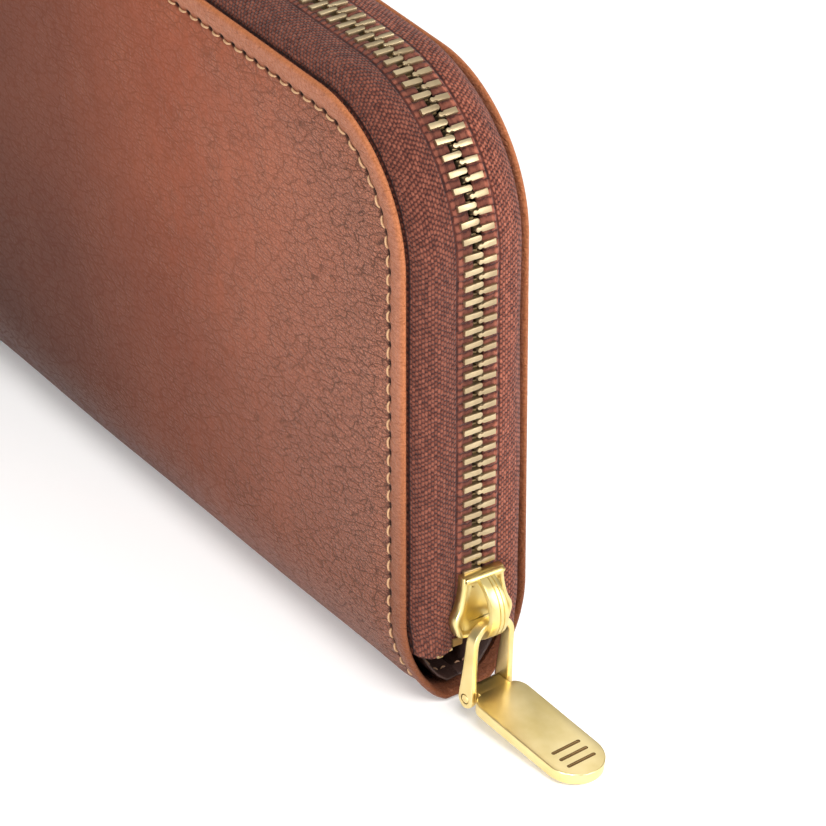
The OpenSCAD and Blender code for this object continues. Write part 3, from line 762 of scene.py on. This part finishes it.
def lining(name, side, paint, replaced):
    """Thin lining from the spine up to just short of the rim."""
    path = RimPath(HALF_L - LINING_IN, 0.0, S_TOP - LINING_IN, CORNER_R - LINING_IN, 1.2)
    outer, inner = -2.75, -3.3
    section = [(path.r, outer), (10, outer), (2, outer), (0.3, outer - 0.05), (0.0, (outer + inner) / 2),
               (0.3, inner + 0.05), (2, inner), (10, inner), (path.r, inner)]
    rows = [(d, h, False) for d, h in section]

    def place(x, s, d, h, u):
        return on_cover(x, s, h + (0.05 * relief(x, s) if d > 5 else 0), side)

    return stand(sheet_object(name, path, rows, place), paint, replaced)


# ---------------------------------------------------------------- inner pockets
def upright_panel(name, side, half_w, low, high, r, y_out, y_in):
    """A standing sheet between the distances y_out and y_in from the middle plane, with soft edges."""
    path = RimPath(half_w, low, high, r, 1.2)
    edge, near = min(0.15, r / 4), min(2.0, 0.8 * r)
    section = [(r, y_out), (near, y_out), (edge, y_out - 0.03), (0.0, (y_out + y_in) / 2),
               (edge, y_in + 0.03), (near, y_in), (r, y_in)]
    rows = [(d, h, False) for d, h in section]

    def place(x, z, d, h, u):
        return np.column_stack([x, -side * h, z])

    return sheet_object(name, path, rows, place)


def panel_from_node(node, side, r, paint):
    """A soft panel in the place of a flat CAD one."""
    low, high = box_mm(node)
    near, far = sorted((abs(low[1]), abs(high[1])))
    obj = upright_panel(node + "_panel", side, high[0], low[2], high[2], r, far, near)
    return stand(obj, paint, [node])


def edge_thread(name, side, half_w, low, high, r, y, inset_by, paint, pitch=2.6):
    """Small stitches round an inner panel's edge."""
    path = RimPath(half_w, low, high, r, 0.8)
    total = path.length(inset_by)[-1]
    t = np.linspace(-1, 1, 5)
    parts = []
    for middle in np.arange(pitch, total - pitch, pitch):
        cx, cz, angle = path.locate(middle + t * 0.36 * pitch, inset_by)

        def at(across, up):
            out = path.r - inset_by + across
            depth = y - 0.10 * (1 - t * t) + up
            return np.column_stack([cx + np.cos(angle) * out, -side * depth, cz + np.sin(angle) * out])

        parts.append(stitch(t, 0.13, 6, at))
    return thread_object(name, parts, paint)


def gusset(name, side, end, paint):
    """A folded gusset: a V in plan, from the card pockets in to the fold and back to the coin pocket."""
    outer, inner, low, high = 6.4, 2.75, 20.0, 80.0
    edge_x, low_depth, more_depth = 89.8, 5, 20
    zs = np.linspace(low, high, 31)
    ts = np.linspace(0, 1, 25)
    fold = 1 - np.abs(2 * ts - 1)
    soft = smooth_step(fold) * 0.35 + fold * 0.65
    rows = []
    for thickness in (0.12, -0.12):
        for z in zs:
            depth = low_depth + more_depth * (z - low) / (high - low)
            x = edge_x - depth * soft + 0.25 * np.sin(z / 6) * fold
            y = outer + (inner - outer) * ts + thickness
            rows.append(np.column_stack([end * x, -side * y, np.full_like(x, z)]))
    n, m = len(zs), len(ts)
    back = n * m
    verts = np.vstack(rows)
    faces = grid_faces(n, m) + grid_faces(n, m, back)
    for i in range(n - 1):
        for j in (0, m - 1):
            faces.append((i * m + j, (i + 1) * m + j, back + (i + 1) * m + j, back + i * m + j))
    for j in range(m - 1):
        for i in (0, n - 1):
            faces.append((i * m + j, i * m + j + 1, back + i * m + j + 1, back + i * m + j))
    obj = stand(make_object(name + "_fan", verts, faces), paint, [name])
    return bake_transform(obj)


# ---------------------------------------------------------------- main zip
def spread(z):
    """How far the slider holds a row off the middle at a height."""
    return SPREAD * np.clip((SPREAD_HIGH - z) / (SPREAD_HIGH - SPREAD_LOW), 0, 1)


def tape_line():
    """Section of the tape from inside the cover to the chain: (n, y, outward n, outward y, w)."""
    arc_l = TAPE_ARC * math.pi / 2
    flat_l = TAPE_Y - TAPE_ARC - TAPE_EDGE
    tuck_n, tuck_y = 0.9, 0.35
    points = [(n, TAPE_Y - tuck_y, 0, 1, n + 1.0) for n in (-9.0, -5.0, -2.6)]
    for i in range(21):
        t = i / 20
        sin, cos = math.sin(math.pi / 2 * t), math.cos(math.pi / 2 * t)
        points.append((TAPE_N - TAPE_ARC + TAPE_ARC * sin - tuck_n * (1 - t) ** 2,
                       TAPE_Y - TAPE_ARC + TAPE_ARC * cos - tuck_y * (1 - t), sin, cos, arc_l * t))
    for i in range(1, 15):
        t = i / 14
        points.append((TAPE_N, TAPE_Y - TAPE_ARC - flat_l * t, 1, 0, arc_l + flat_l * t))
    return np.array(points)


def tape_foot(y):
    """How far above its mean the tape's lower end is cut, higher by the chain."""
    return -0.9 + 2.5 * np.clip((8.2 - y) / 6.2, 0, 1)


def zip_tape(name, side, paint):
    path = RimPath(HALF_L, TAPE_LOW, HEIGHT, CORNER_R, 0.36)
    u = path.length(-2.0)
    line = tape_line()
    rows = [(n, y, an, ay, w, TAPE_T / 2) for n, y, an, ay, w in line]
    n, y, an, ay, w = line[-1]
    rows.append((n, y - 0.16, 1, 0, w + 0.1, 0.16))
    rows.append((n, y - 0.22, 1, 0, w + 0.2, 0.0))
    rows += [(n, y, an, ay, w, -TAPE_T / 2) for n, y, an, ay, w in line[::-1][::3]]
    right = (path.cx > 0) & (path.angle < 0.01)
    pull = np.where(right, spread(path.cz), 0)
    squeeze = 0.9 * smooth_step((BEND_Z - path.cz) / 7) * (path.cz < CORNER_Z)
    rib_wave, ladder_wave = np.cos(2 * math.pi * u / 1.1), np.cos(4 * math.pi * u / TOOTH_PITCH)
    verts, tape_u, tape_w = [], [], []
    for n, y, an, ay, w, thick in rows:
        share = np.clip((TAPE_Y - TAPE_ARC - y) / (TAPE_Y - TAPE_ARC - TAPE_EDGE), 0, 1.1)
        out_y = y + pull * share
        out_y = out_y - squeeze * np.clip((out_y - 5) / 5, 0, 1)
        lift = np.full(len(u), thick)
        if thick > 0.2:
            rib = 0.10 * rib_wave * smooth_step((2.0 - w) / 0.8)
            cord = 0.22 * bump_at(y, 2.0, 0.8) * (0.6 + 0.4 * ladder_wave)
            groove = -0.14 * bump_at(y, SEAM_Y, 0.30) + 0.10 * bump_at(y, 3.3, 0.30)
            slow = 0.10 * np.sin(u / 7.0 + w) * smooth_step(w / 3)
            lift = lift + (rib if w > -0.5 else 0) + cord + groove + (slow if w > 0 else 0)
        out = CORNER_R + n + an * lift
        x = path.cx + np.cos(path.angle) * out
        z = path.cz + np.sin(path.angle) * out
        z = z + smooth_step((TAPE_LOW + 3 - z) / 3) * tape_foot(y) * right
        verts.append(np.column_stack([x, -side * (out_y + ay * lift), z]))
        tape_u.append(u)
        tape_w.append(np.full(len(u), w))
    faces = grid_faces(len(rows), len(u))
    obj = make_object(name + "_woven", np.vstack(verts), faces,
                      {"tape_u": np.concatenate(tape_u), "tape_w": np.concatenate(tape_w)}, close=True)
    return stand(obj, paint, [name])


def chain_place(s):
    """Corner centre and angle at a distance s along the chain, from the slider's end."""
    side_run = CORNER_Z - ROW_LOW
    corner_run = CHAIN_R * math.pi / 2
    top_run = 2 * CORNER_X
    s1 = s - side_run
    s2 = s1 - corner_run
    s3 = s2 - top_run
    s4 = s3 - corner_run
    if s1 < 0:
        return CORNER_X, CORNER_Z + s1, 0.0
    if s2 < 0:
        return CORNER_X, CORNER_Z, s1 / corner_run * math.pi / 2
    if s3 < 0:
        return CORNER_X - s2, CORNER_Z, math.pi / 2
    if s4 < 0:
        return -CORNER_X, CORNER_Z, math.pi / 2 + s3 / corner_run * math.pi / 2
    return -CORNER_X, CORNER_Z - s4, math.pi


def chain_run():
    """Length of the chain from one end to the other."""
    return CORNER_Z - ROW_LOW + CHAIN_R * math.pi + 2 * CORNER_X + CORNER_Z - LEFT_LOW


def tooth_shape(rounded):
    """One tooth as (across, along, out): a bar over the tape, one under it and a head to join them."""
    half = TOOTH_W / 2
    if rounded:
        neck = 0.30
        bar = [(-CHAIN_HALF, -half), (-0.70, -half), (-0.45, -neck), (-0.25, -neck)]
        bar += [tuple(q) for q in arc(0.06, 0, 0.42, -120, 120, 9)]
        bar += [(-0.25, neck), (-0.45, neck), (-0.70, half), (-CHAIN_HALF, half)]
    else:
        bar = [(-CHAIN_HALF, -half), (0.10, -half), (0.42, -half + 0.28)]
        bar += [(x, -y) for x, y in bar[::-1]]
    head = [(-1.05, -half + 0.1), (0.28, -half + 0.22), (0.28, half - 0.22), (-1.05, half - 0.1)]
    under = [(-CHAIN_HALF, -half), (0.2, -half), (0.2, half), (-CHAIN_HALF, half)]
    return join_parts([prism(bar, TAPE_N + 0.28, CHAIN_OUT, 0.14, 2),
                       prism(head, CHAIN_IN + 0.3, CHAIN_OUT - 0.3, 0.1, 1),
                       prism(under, CHAIN_IN, TAPE_N - 0.3, 0.12, 1)])


def teeth_row(name, side, offset, paint):
    template, faces = tooth_shape(rounded=side < 0)
    parts = []
    count = int(chain_run() // TOOTH_PITCH)
    for i in range(count):
        s = offset + i * TOOTH_PITCH
        cx, cz, angle = chain_place(s)
        shift = -float(spread(ROW_LOW + s)) if angle == 0 and cx > 0 else 0.0
        turn = 0.03 * math.sin(1.7 * i)
        across = template[:, 0] + shift
        along = template[:, 1] + turn * (template[:, 0] + 1.5)
        out = CORNER_R + template[:, 2] + 0.04 * math.sin(2.3 * i)
        x = cx + math.cos(angle) * out - math.sin(angle) * along
        z = cz + math.sin(angle) * out + math.cos(angle) * along
        parts.append((np.column_stack([x, side * across, z]), faces))
    # the last teeth turn outwards under the tape's end
    for i in range(3):
        y = 3.2 + 1.7 * i
        x0 = HALF_L + 1.9 - 0.15 * i
        edge = TAPE_LOW + float(tape_foot(y))
        outline = [(x0, y - 0.5), (x0 + 1.2, y - 0.5), (x0 + 1.2, y + 0.5), (x0, y + 0.5)]
        points, polygons = prism(outline, edge - 0.42, edge + 0.1, 0.12, 2)
        points[:, 1] *= -side
        parts.append((points, polygons))
    verts, all_faces = join_parts(parts)
    obj = make_object(name + "_row", verts, all_faces, merge=0, sharp=35)
    return stand(obj, paint, [name])


def stop_piece(node, paint):
    """A small crimped stop in the place of its CAD block."""
    low, high = box_mm(node)
    outline = [(low[0], low[1]), (high[0], low[1]), (high[0], high[1]), (low[0], high[1])]
    points, faces = prism(outline, low[2], high[2], 0.2, 3)
    return stand(make_object(node + "_crimp", points, faces, sharp=50), paint, [node])


# ---------------------------------------------------------------- slider
def slider_outline():
    """Half of the slider's plan as (half width, height above its lower end), rounded and flared."""
    shape = [(3.3, 0.0), (4.2, 0.18), (4.80, 0.7), (5.10, 1.5), (5.24, 2.1), (5.44, 2.6), (5.48, 3.2),
             (5.38, 3.9), (5.08, 4.5), (4.74, 5.2), (4.46, 6.0), (4.24, 6.9), (4.04, 7.9), (3.88, 9.0),
             (3.78, SLIDER_L)]
    right = np.array(shape)
    left = right[::-1] * [-1, 1]
    return np.vstack([right, left])


def at_slider(plan, out):
    """World points from the slider's plan (across, up), at a distance out from the cover's rim."""
    plan = np.asarray(plan)
    return np.column_stack([HALF_L + np.broadcast_to(out, len(plan)), plan[:, 0], SLIDER_Z + plan[:, 1]])


def slider_shell(steps):
    """A closed shell through the outline drawn in by d at a distance n out, for each step (d, n)."""
    outline = slider_outline()
    return loft_rings([at_slider(inset(outline, d), n) for d, n in steps])


def slider(paint):
    """Top plate with raised rims round a sunk middle, under plate, post between the rows, and a lip."""
    plate = slider_shell([(0.75, 3.25), (0.15, 3.3), (0.0, 3.5), (0.0, 4.6), (0.06, 4.95), (0.22, 5.2),
                          (0.42, 5.3), (0.70, 5.3), (0.90, 5.18), (1.08, 4.9), (1.3, 4.78), (1.9, 4.74),
                          (2.6, 4.72)])
    under = slider_shell([(0.75, 2.55), (0.1, 2.5), (0.0, 2.3), (0.0, 0.6), (0.2, 0.1), (0.6, -0.1),
                          (2.0, -0.1)])
    points, post_faces = prism([(-0.8, 0.8), (0.8, 0.8), (0.5, 3.2), (-0.5, 3.2)], 0.8, 4.5, 0.1, 1)
    post = (at_slider(points[:, :2], points[:, 2]), post_faces)
    count, half = 25, 3.6
    ys = np.linspace(-half, half, count)
    centres = at_slider(np.column_stack([ys, np.full(count, SLIDER_L - 0.45)]), PLATE_OUT - 0.12)
    round_off = np.sqrt(np.clip(1 - (np.abs(ys) / 3.75) ** 10, 0.05, 1))
    across = np.tile([1.0, 0, 0], (count, 1))
    up = np.tile([0.0, 0, 1.0], (count, 1))
    lip = tube(centres, across, up, 0.55 * round_off, 0.6 * round_off, 14)
    verts, faces = join_parts([plate, under, post, lip])
    obj = make_object("slider_shell", verts, faces, merge=0, sharp=40)
    return stand(obj, paint, ["slider_body"])


def crown(paint):
    """The arched band that holds the link, with two fine grooves along it."""
    r_out, z0, n0 = 5.95, SLIDER_Z + SLIDER_L / 2 - 0.4, PLATE_OUT - 1.7
    edge = [(1.34, 0.0), (1.45, -0.04), (1.5, -0.14), (1.5, -1.0)]
    grooves = [(at + step, -0.18 if step == 0 else 0.02) for at in (0.0, 0.72) for step in (-0.1, 0, 0.1)]
    section = np.array([(-y, lift) for y, lift in edge[::-1]] + grooves + edge)
    rings = []
    for a in np.radians(np.linspace(76, -62, 41)):
        swell = 1 + 0.10 * smooth_step((math.radians(60) - a) / math.radians(70))
        r = r_out + section[:, 1] * (1 + 0.35 * smooth_step(-a / math.radians(50)))
        x = HALF_L + n0 + r * math.cos(a)
        z = z0 + r * math.sin(a)
        rings.append(np.column_stack([x, section[:, 0] * swell * 0.97, z]))
    verts, faces = loft_rings(rings)
    obj = make_object("crown_band", verts, faces, merge=0, sharp=30)
    return stand(obj, paint, ["slider_crown"])


def at_link(points):
    """From the link's own frame (x out, y along its bar, z up) to the world."""
    turn = Matrix.Rotation(PULL_YAW, 3, "Z") @ Matrix.Rotation(LINK_TILT, 3, "Y")
    return np.asarray(points) @ np.array(turn).T + LINK_BAR


def along_pin(points):
    """A shape drawn on its side, turned so that its thickness runs along the pin."""
    return points[:, [0, 2, 1]]


def cut_away(obj, verts, faces):
    """Cuts a closed shape out of a piece."""
    tool = make_object("cutter", verts, faces, merge=0)
    cut = obj.modifiers.new("cut", "BOOLEAN")
    cut.object = tool
    cut.operation = "DIFFERENCE"
    depsgraph = bpy.context.evaluated_depsgraph_get()
    mesh = bpy.data.meshes.new_from_object(obj.evaluated_get(depsgraph))
    obj.modifiers.clear()
    obj.data = mesh
    bpy.data.objects.remove(tool)


def link(paint):
    """Flat-sided link: two legs with round eyes, drawn together over the bar under the crown."""
    z_leg = np.concatenate([-LINK_L + EYE_R * np.sin(np.radians(np.linspace(-90, 30, 11))),
                            np.linspace(-LINK_L + 1.6, LEG_TOP, 10)])
    above = z_leg + LINK_L
    half_x = np.where(above < 0.6, np.sqrt(np.clip(EYE_R ** 2 - above ** 2, 0.02, None)),
                      1.0 + 0.62 * np.clip(1 - (above - 0.6) / 9.0, 0, 1) ** 1.3)
    leg = np.column_stack([np.zeros(len(z_leg)), np.full(len(z_leg), -LEG_MID), z_leg])
    a = np.radians(np.linspace(0, 90, 12))[1:]
    bend = np.column_stack([np.zeros(len(a)), -LEG_MID * np.cos(a) ** 0.8, LEG_TOP * (1 - np.sin(a))])
    half = np.vstack([leg, bend])
    hx = np.concatenate([half_x, np.linspace(1.0, 0.75, len(a))])
    centres = np.vstack([half, half[::-1][1:] * [1, -1, 1]])
    hx = np.concatenate([hx, hx[::-1][1:]])
    tangent = np.gradient(centres, axis=0)
    tangent /= np.linalg.norm(tangent, axis=1)[:, None]
    across = np.tile([1.0, 0, 0], (len(centres), 1))
    up = np.cross(tangent, across)
    verts, faces = tube(centres, across, up, hx, LEG_T / 2, 28, 0.28)
    obj = make_object("pull_link_bent", at_link(verts), faces, merge=0)
    points, hole_faces = prism(arc(0, 0, PIN_R + 0.10, 0, 360, 33)[:-1], -LEG_MID - 1, LEG_MID + 1, 0.01, 1)
    cut_away(obj, at_link(along_pin(points) - [0, 0, LINK_L]), hole_faces)
    obj.data.set_sharp_from_angle(angle=math.radians(40))
    return stand(obj, paint, ["pull_link"])


def pin(paint):
    """The round pin through the link's eyes."""
    ring = arc(0, 0, PIN_R, 0, 360, 25)[:-1]
    reach = LEG_IN + LEG_T + 0.02
    points, faces = prism(ring, -reach, reach, 0.20, 3)
    obj = make_object("pin_round", at_link(along_pin(points) - [0, 0, LINK_L]), faces, merge=0, sharp=50)
    return stand(obj, paint, ["pull_pin"])


def tab_outline():
    """Plan of the tab from its neck: rounded shoulders and a round end."""
    r = TAB_W / 2
    depth, rise = 2.4, r - NECK_HALF
    shoulder = [(NECK_L + depth * (1 - math.cos(t)), -NECK_HALF - rise * math.sin(t))
                for t in np.linspace(0, math.pi / 2, 9)]
    end = [tuple(q) for q in arc(TAB_L - r, 0, r, -90, 0, 19)]
    lower = [(1.7, -NECK_HALF + 0.2)] + shoulder + end
    upper = [(x, -y) for x, y in lower[::-1][1:]]
    return lower + upper


def grip_lines():
    """Three plain slots across the tab, to be cut away."""
    parts = []
    for i in (-1, 0, 1):
        x = TAB_L - TAB_W / 2 + GRIP_STEP * i
        low, high = arc(x, -GRIP_HALF, GRIP_R, 180, 360, 9), arc(x, GRIP_HALF, GRIP_R, 0, 180, 9)
        parts.append(prism(np.vstack([low, high]), TAB_TOP - 0.3, TAB_TOP + 1, 0.08, 1))
    return join_parts(parts)


def at_tab(points):
    """From the tab's own frame (x along it from the pin, z up) to the world, with its end on the floor."""
    pin_z = LINK_BAR[2] - LINK_L * math.cos(LINK_TILT)
    pitch = math.asin((pin_z + TAB_UNDER) / TAB_L)
    turn = np.array(Matrix.Rotation(pitch - LINK_TILT, 3, "Y"))
    return at_link(np.asarray(points) @ turn.T + [0, 0, -LINK_L])


def tab(paint, aged):
    """The flat plate of the tab, with its grip lines cut and aged dark."""
    verts, faces = prism(tab_outline(), TAB_UNDER, TAB_TOP, 0.22, 3)
    obj = make_object("pull_tab_plate", verts, faces, merge=0)
    cut_away(obj, *grip_lines())
    stand(obj, paint, ["pull_tab"])
    obj.data.materials.append(aged)
    for polygon in obj.data.polygons:
        x, y, z = polygon.center / MM
        inside = abs(y) < GRIP_HALF + 0.4 and abs(x - TAB_L + TAB_W / 2) < GRIP_STEP + 0.8
        polygon.material_index = 1 if inside and 0 < z < TAB_TOP - 0.02 else 0
    points = np.array([v.co[:] for v in obj.data.vertices]) / MM
    obj.data.vertices.foreach_set("co", (at_tab(points) * MM).astype(np.float32).ravel())
    obj.data.update()
    obj.data.set_sharp_from_angle(angle=math.radians(30))
    return obj


def tab_neck(paint):
    """The tab's strip wrapped round the pin, as wide as the room between the legs."""
    wrap = [tuple(q) for q in arc(0, 0, WRAP_R, 84, 326, 31)]
    section = wrap + [(1.9, TAB_UNDER + 0.02), (2.4, TAB_UNDER + 0.05), (2.4, TAB_TOP - 0.02),
                      (1.0, TAB_TOP - 0.02)]
    points, faces = prism(section, -NECK_HALF, NECK_HALF, 0.16, 3)
    obj = make_object("pull_tab_neck", at_tab(along_pin(points)), faces, merge=0, sharp=35)
    return stand(obj, paint)


# ---------------------------------------------------------------- coin zip
def coin_tape(name, side, paint):
    """Tape of the inner zip: up from the coin panel and over to the small chain."""
    low, high = box_mm(name)
    half, top = high[0], high[2] - 0.2
    section = [(2.3, low[2]), (2.3, top - 3), (2.28, top - 1.8), (2.1, top - 0.9), (1.7, top - 0.3),
               (1.2, top - 0.05), (0.7, top), (0.34, top)]
    us = np.arange(-half, half + 0.01, 0.8)
    w = np.concatenate([[0], np.cumsum(np.hypot(*np.diff(np.array(section), axis=0).T))])
    rows, tape_u, tape_w = [], [], []
    for shift, order in ((0.18, slice(None)), (-0.18, slice(None, None, -1))):
        for (y, z), across in zip(section[order], w[order]):
            tilt = 1 if z > top - 1 else 0
            rows.append(np.column_stack([us, np.full_like(us, -side * (y + shift * (1 - tilt))),
                                         np.full_like(us, z + shift * tilt)]))
            tape_u.append(us)
            tape_w.append(np.full_like(us, across + RIB_W))
    faces = grid_faces(len(rows), len(us))
    faces += [(j, j + 1, (len(rows) - 1) * len(us) + j + 1, (len(rows) - 1) * len(us) + j)
              for j in range(len(us) - 1)]
    obj = make_object(name + "_woven", np.vstack(rows), faces,
                      {"tape_u": np.concatenate(tape_u), "tape_w": np.concatenate(tape_w)}, close=True)
    return stand(obj, paint, [name])


def coin_teeth(name, side, offset, paint):
    """One row of the small chain, with double-sided teeth."""
    low, high = box_mm("coin_zip_teeth_front")
    z = (low[2] + high[2]) / 2
    bar = [(-1.1, -0.42), (0.05, -0.42), (0.22, -0.2), (0.22, 0.2), (0.05, 0.42), (-1.1, 0.42)]
    top = prism(bar, 0.3, 0.8, 0.1, 1)
    low_bar = prism(bar, -0.8, -0.3, 0.1, 1)
    head = prism([(-0.25, -0.35), (0.2, -0.25), (0.2, 0.25), (-0.25, 0.35)], -0.6, 0.6, 0.06, 1)
    template, faces = join_parts([top, low_bar, head])
    parts = []
    for i in range(COIN_COUNT):
        x = COIN_START + offset + COIN_PITCH * i + template[:, 1]
        parts.append((np.column_stack([x, side * template[:, 0], z + template[:, 2]]), faces))
    verts, all_faces = join_parts(parts)
    obj = make_object(name + "_row", verts, all_faces, merge=0, sharp=35)
    return stand(obj, paint, [name])


# ---------------------------------------------------------------- stage
def lamp(name, kind, place, target, power):
    """A lamp at a place, turned to its target."""
    data = bpy.data.lights.new(name, kind)
    data.energy = power
    obj = bpy.data.objects.new(name, data)
    obj.location = place
    obj.rotation_euler = (Vector(target) - Vector(place)).to_track_quat("-Z", "Y").to_euler()
    bpy.context.scene.collection.objects.link(obj)
    return data


def soft_box(name, place, target, size, power):
    data = lamp(name, "AREA", place, target, power)
    data.shape = "RECTANGLE"
    data.size, data.size_y = size
    return data


def lights():
    """Three soft boxes, a weak spot on the slider's end, and pale walls that darken downwards."""
    key = soft_box("key", (0.52, -0.18, 0.60), (0.04, 0.0, 0.05), (0.30, 0.30), KEY_W)
    key.color = (1.0, 0.98, 0.96)
    soft_box("right", (0.62, 0.30, 0.30), (0.09, 0, 0.05), (0.30, 0.5), RIGHT_W)
    soft_box("top", (-0.25, 0.30, 0.80), (0.10, 0.0, 0.0), (1.1, 0.8), TOP_W)
    accent = lamp("accent", "SPOT", (0.42, -0.62, 0.16), (0.075, -0.012, 0.035), SPOT_W)
    accent.spot_size = math.radians(26)
    accent.spot_blend = 1.0
    accent.shadow_soft_size = 0.05
    world = bpy.data.worlds.new("studio")
    world.use_nodes = True
    bpy.context.scene.world = world
    tree = world.node_tree
    background = tree.nodes["Background"]
    height = tree.nodes.new("ShaderNodeSeparateXYZ")
    coordinates = tree.nodes.new("ShaderNodeTexCoord")
    ramp = tree.nodes.new("ShaderNodeValToRGB")
    tree.links.new(coordinates.outputs["Generated"], height.inputs[0])
    tree.links.new(height.outputs[2], ramp.inputs[0])
    tree.links.new(ramp.outputs[0], background.inputs[0])
    ramp.color_ramp.interpolation = "EASE"
    ramp.color_ramp.elements[0].position = 0.0
    ramp.color_ramp.elements[0].color = (0.45, 0.45, 0.46, 1)
    ramp.color_ramp.elements[1].position = 1.0
    ramp.color_ramp.elements[1].color = (1, 1, 1, 1)
    background.inputs[1].default_value = WORLD


def floor():
    """Plain pale floor, a large rounded sheet just under the spine."""
    radius, count, level = 3.0, 96, -0.0002
    turns = [2 * math.pi * i / count for i in range(count)]
    ring = [(radius * math.cos(a), radius * math.sin(a), level) for a in turns]
    mesh = bpy.data.meshes.new("floor")
    mesh.from_pydata(ring, [], [tuple(range(count))])
    obj = bpy.data.objects.new("floor", mesh)
    bpy.context.scene.collection.objects.link(obj)
    p = Paint("pale_floor", roughness=0.6, specular=0.2)
    cloud = p.noise(p.place(), 0.004, 2.0)
    p.shader.inputs["Emission Color"].default_value = (1, 1, 1, 1)
    p.shader.inputs["Emission Strength"].default_value = GLOW
    mesh.materials.append(p.finish(p.ramp(cloud, [(0.3, (0.86, 0.86, 0.86)), (0.7, (0.90, 0.90, 0.90))])))


def camera():
    """The photo's view of the wallet's right end."""
    data = bpy.data.cameras.new("camera")
    data.lens = LENS
    data.sensor_width = SENSOR
    data.clip_end = 10
    obj = bpy.data.objects.new("camera", data)
    obj.location = CAMERA_AT
    obj.rotation_euler = (math.radians(90 - CAMERA_DOWN), 0, math.radians(CAMERA_TURN))
    bpy.context.scene.collection.objects.link(obj)
    bpy.context.scene.camera = obj


# ---------------------------------------------------------------- assembly
def build():
    camera()
    lights()
    floor()
    leather = cover_leather()
    inner = dark_leather("lining_leather")
    pocket = dark_leather("pocket_leather", 1.25)
    tan_thread = thread("tan_thread", (0.60, 0.36, 0.19))
    dark_thread = thread("dark_thread", (0.30, 0.17, 0.10))
    tape = tape_weave("zip_tape", (0.022, 0.006, 0.005), (0.112, 0.027, 0.016), (0.32, 0.102, 0.062))
    no_ladder = 30.0
    small_tape = tape_weave("coin_tape", (0.010, 0.005, 0.004), (0.040, 0.018, 0.014), (0.10, 0.05, 0.04),
                            no_ladder)
    old = brass("teeth_brass", (0.53, 0.42, 0.255), (0.28, 0.20, 0.115), 0.42, 0.7)
    bright = brass("slider_brass", (0.76, 0.63, 0.29), (0.58, 0.45, 0.14), 0.28, 0.65)
    small = brass("coin_brass", (0.62, 0.46, 0.22), (0.38, 0.26, 0.11), 0.34, 0.5)
    pull = brass("pull_brass", (0.84, 0.68, 0.34), (0.68, 0.52, 0.18), 0.28, 0.6)
    patina = brass("grip_patina", (0.22, 0.14, 0.06), (0.13, 0.08, 0.03), 0.5)
    twill = woven_lining("gusset_twill")
    board = card_board()

    for word, side in SIDES.items():
        half = word + "_half"
        shell, path = cover(word + "_leather", side, leather)
        if side > 0:
            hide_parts("spine_leather")
        bend_with(shell)
        bend_with(cover_thread(word + "_stitching", side, path, tan_thread))
        bend_with(lining_thread(word + "_foot_seam", side, dark_thread))
        under = [word + "_lining"] + (["spine_lining"] if side > 0 else [])
        bend_with(lining(word + "_lining_sheet", side, inner, under))
        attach(zip_tape(word + "_zip_tape", side, tape), half)
        offset = 0 if side > 0 else TOOTH_PITCH / 2
        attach(teeth_row(word + "_zip_teeth", side, offset, old), half)
        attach(stop_piece(word + "_top_stop", patina), half)
        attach(panel_from_node(word + "_slip_pocket", side, 14, pocket), half)
        for i in range(1, 5):
            node = f"{word}_card_pocket_{i}"
            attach(panel_from_node(node, side, 1.0, pocket), half)
            low, high = box_mm(node)
            near = min(abs(low[1]), abs(high[1]))
            seam = edge_thread(node + "_seam", side, high[0], low[2], high[2], 1.0, near, 0.9, dark_thread)
            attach(seam, half)
        for end, where in ((-1, "left"), (1, "right")):
            gusset(f"{word}_{where}_gusset", side, end, twill)
        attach(panel_from_node("coin_pocket_" + word, side, 10, pocket), "spine")
        low, high = box_mm("coin_pocket_" + word)
        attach(edge_thread("coin_seam_" + word, side, high[0], low[2], high[2], 10, 2.58, 1.4, dark_thread),
                "spine")
        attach(coin_tape("coin_zip_tape_" + word, side, small_tape), "spine")
        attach(coin_teeth("coin_zip_teeth_" + word, side, 0 if side > 0 else 1.0, small), "spine")
    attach(stop_piece("zip_bottom_stop", old), "back_half")
    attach(slider(bright), "slider")
    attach(crown(bright), "slider")
    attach(link(pull), "pull_link")
    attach(pin(pull), "pull_link")
    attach(tab(pull, patina), "pull_tab")
    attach(tab_neck(pull), "pull_tab")
    kept = {"front_stiffener": board, "back_stiffener": board, "coin_pocket_gusset": inner,
            "coin_zip_stops": small, "coin_slider": small, "coin_pull": small}
    for node, material in kept.items():
        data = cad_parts[node].data
        data.materials.clear()
        data.materials.append(material)


bpy.context.scene.view_settings.view_transform = "Standard"
build()
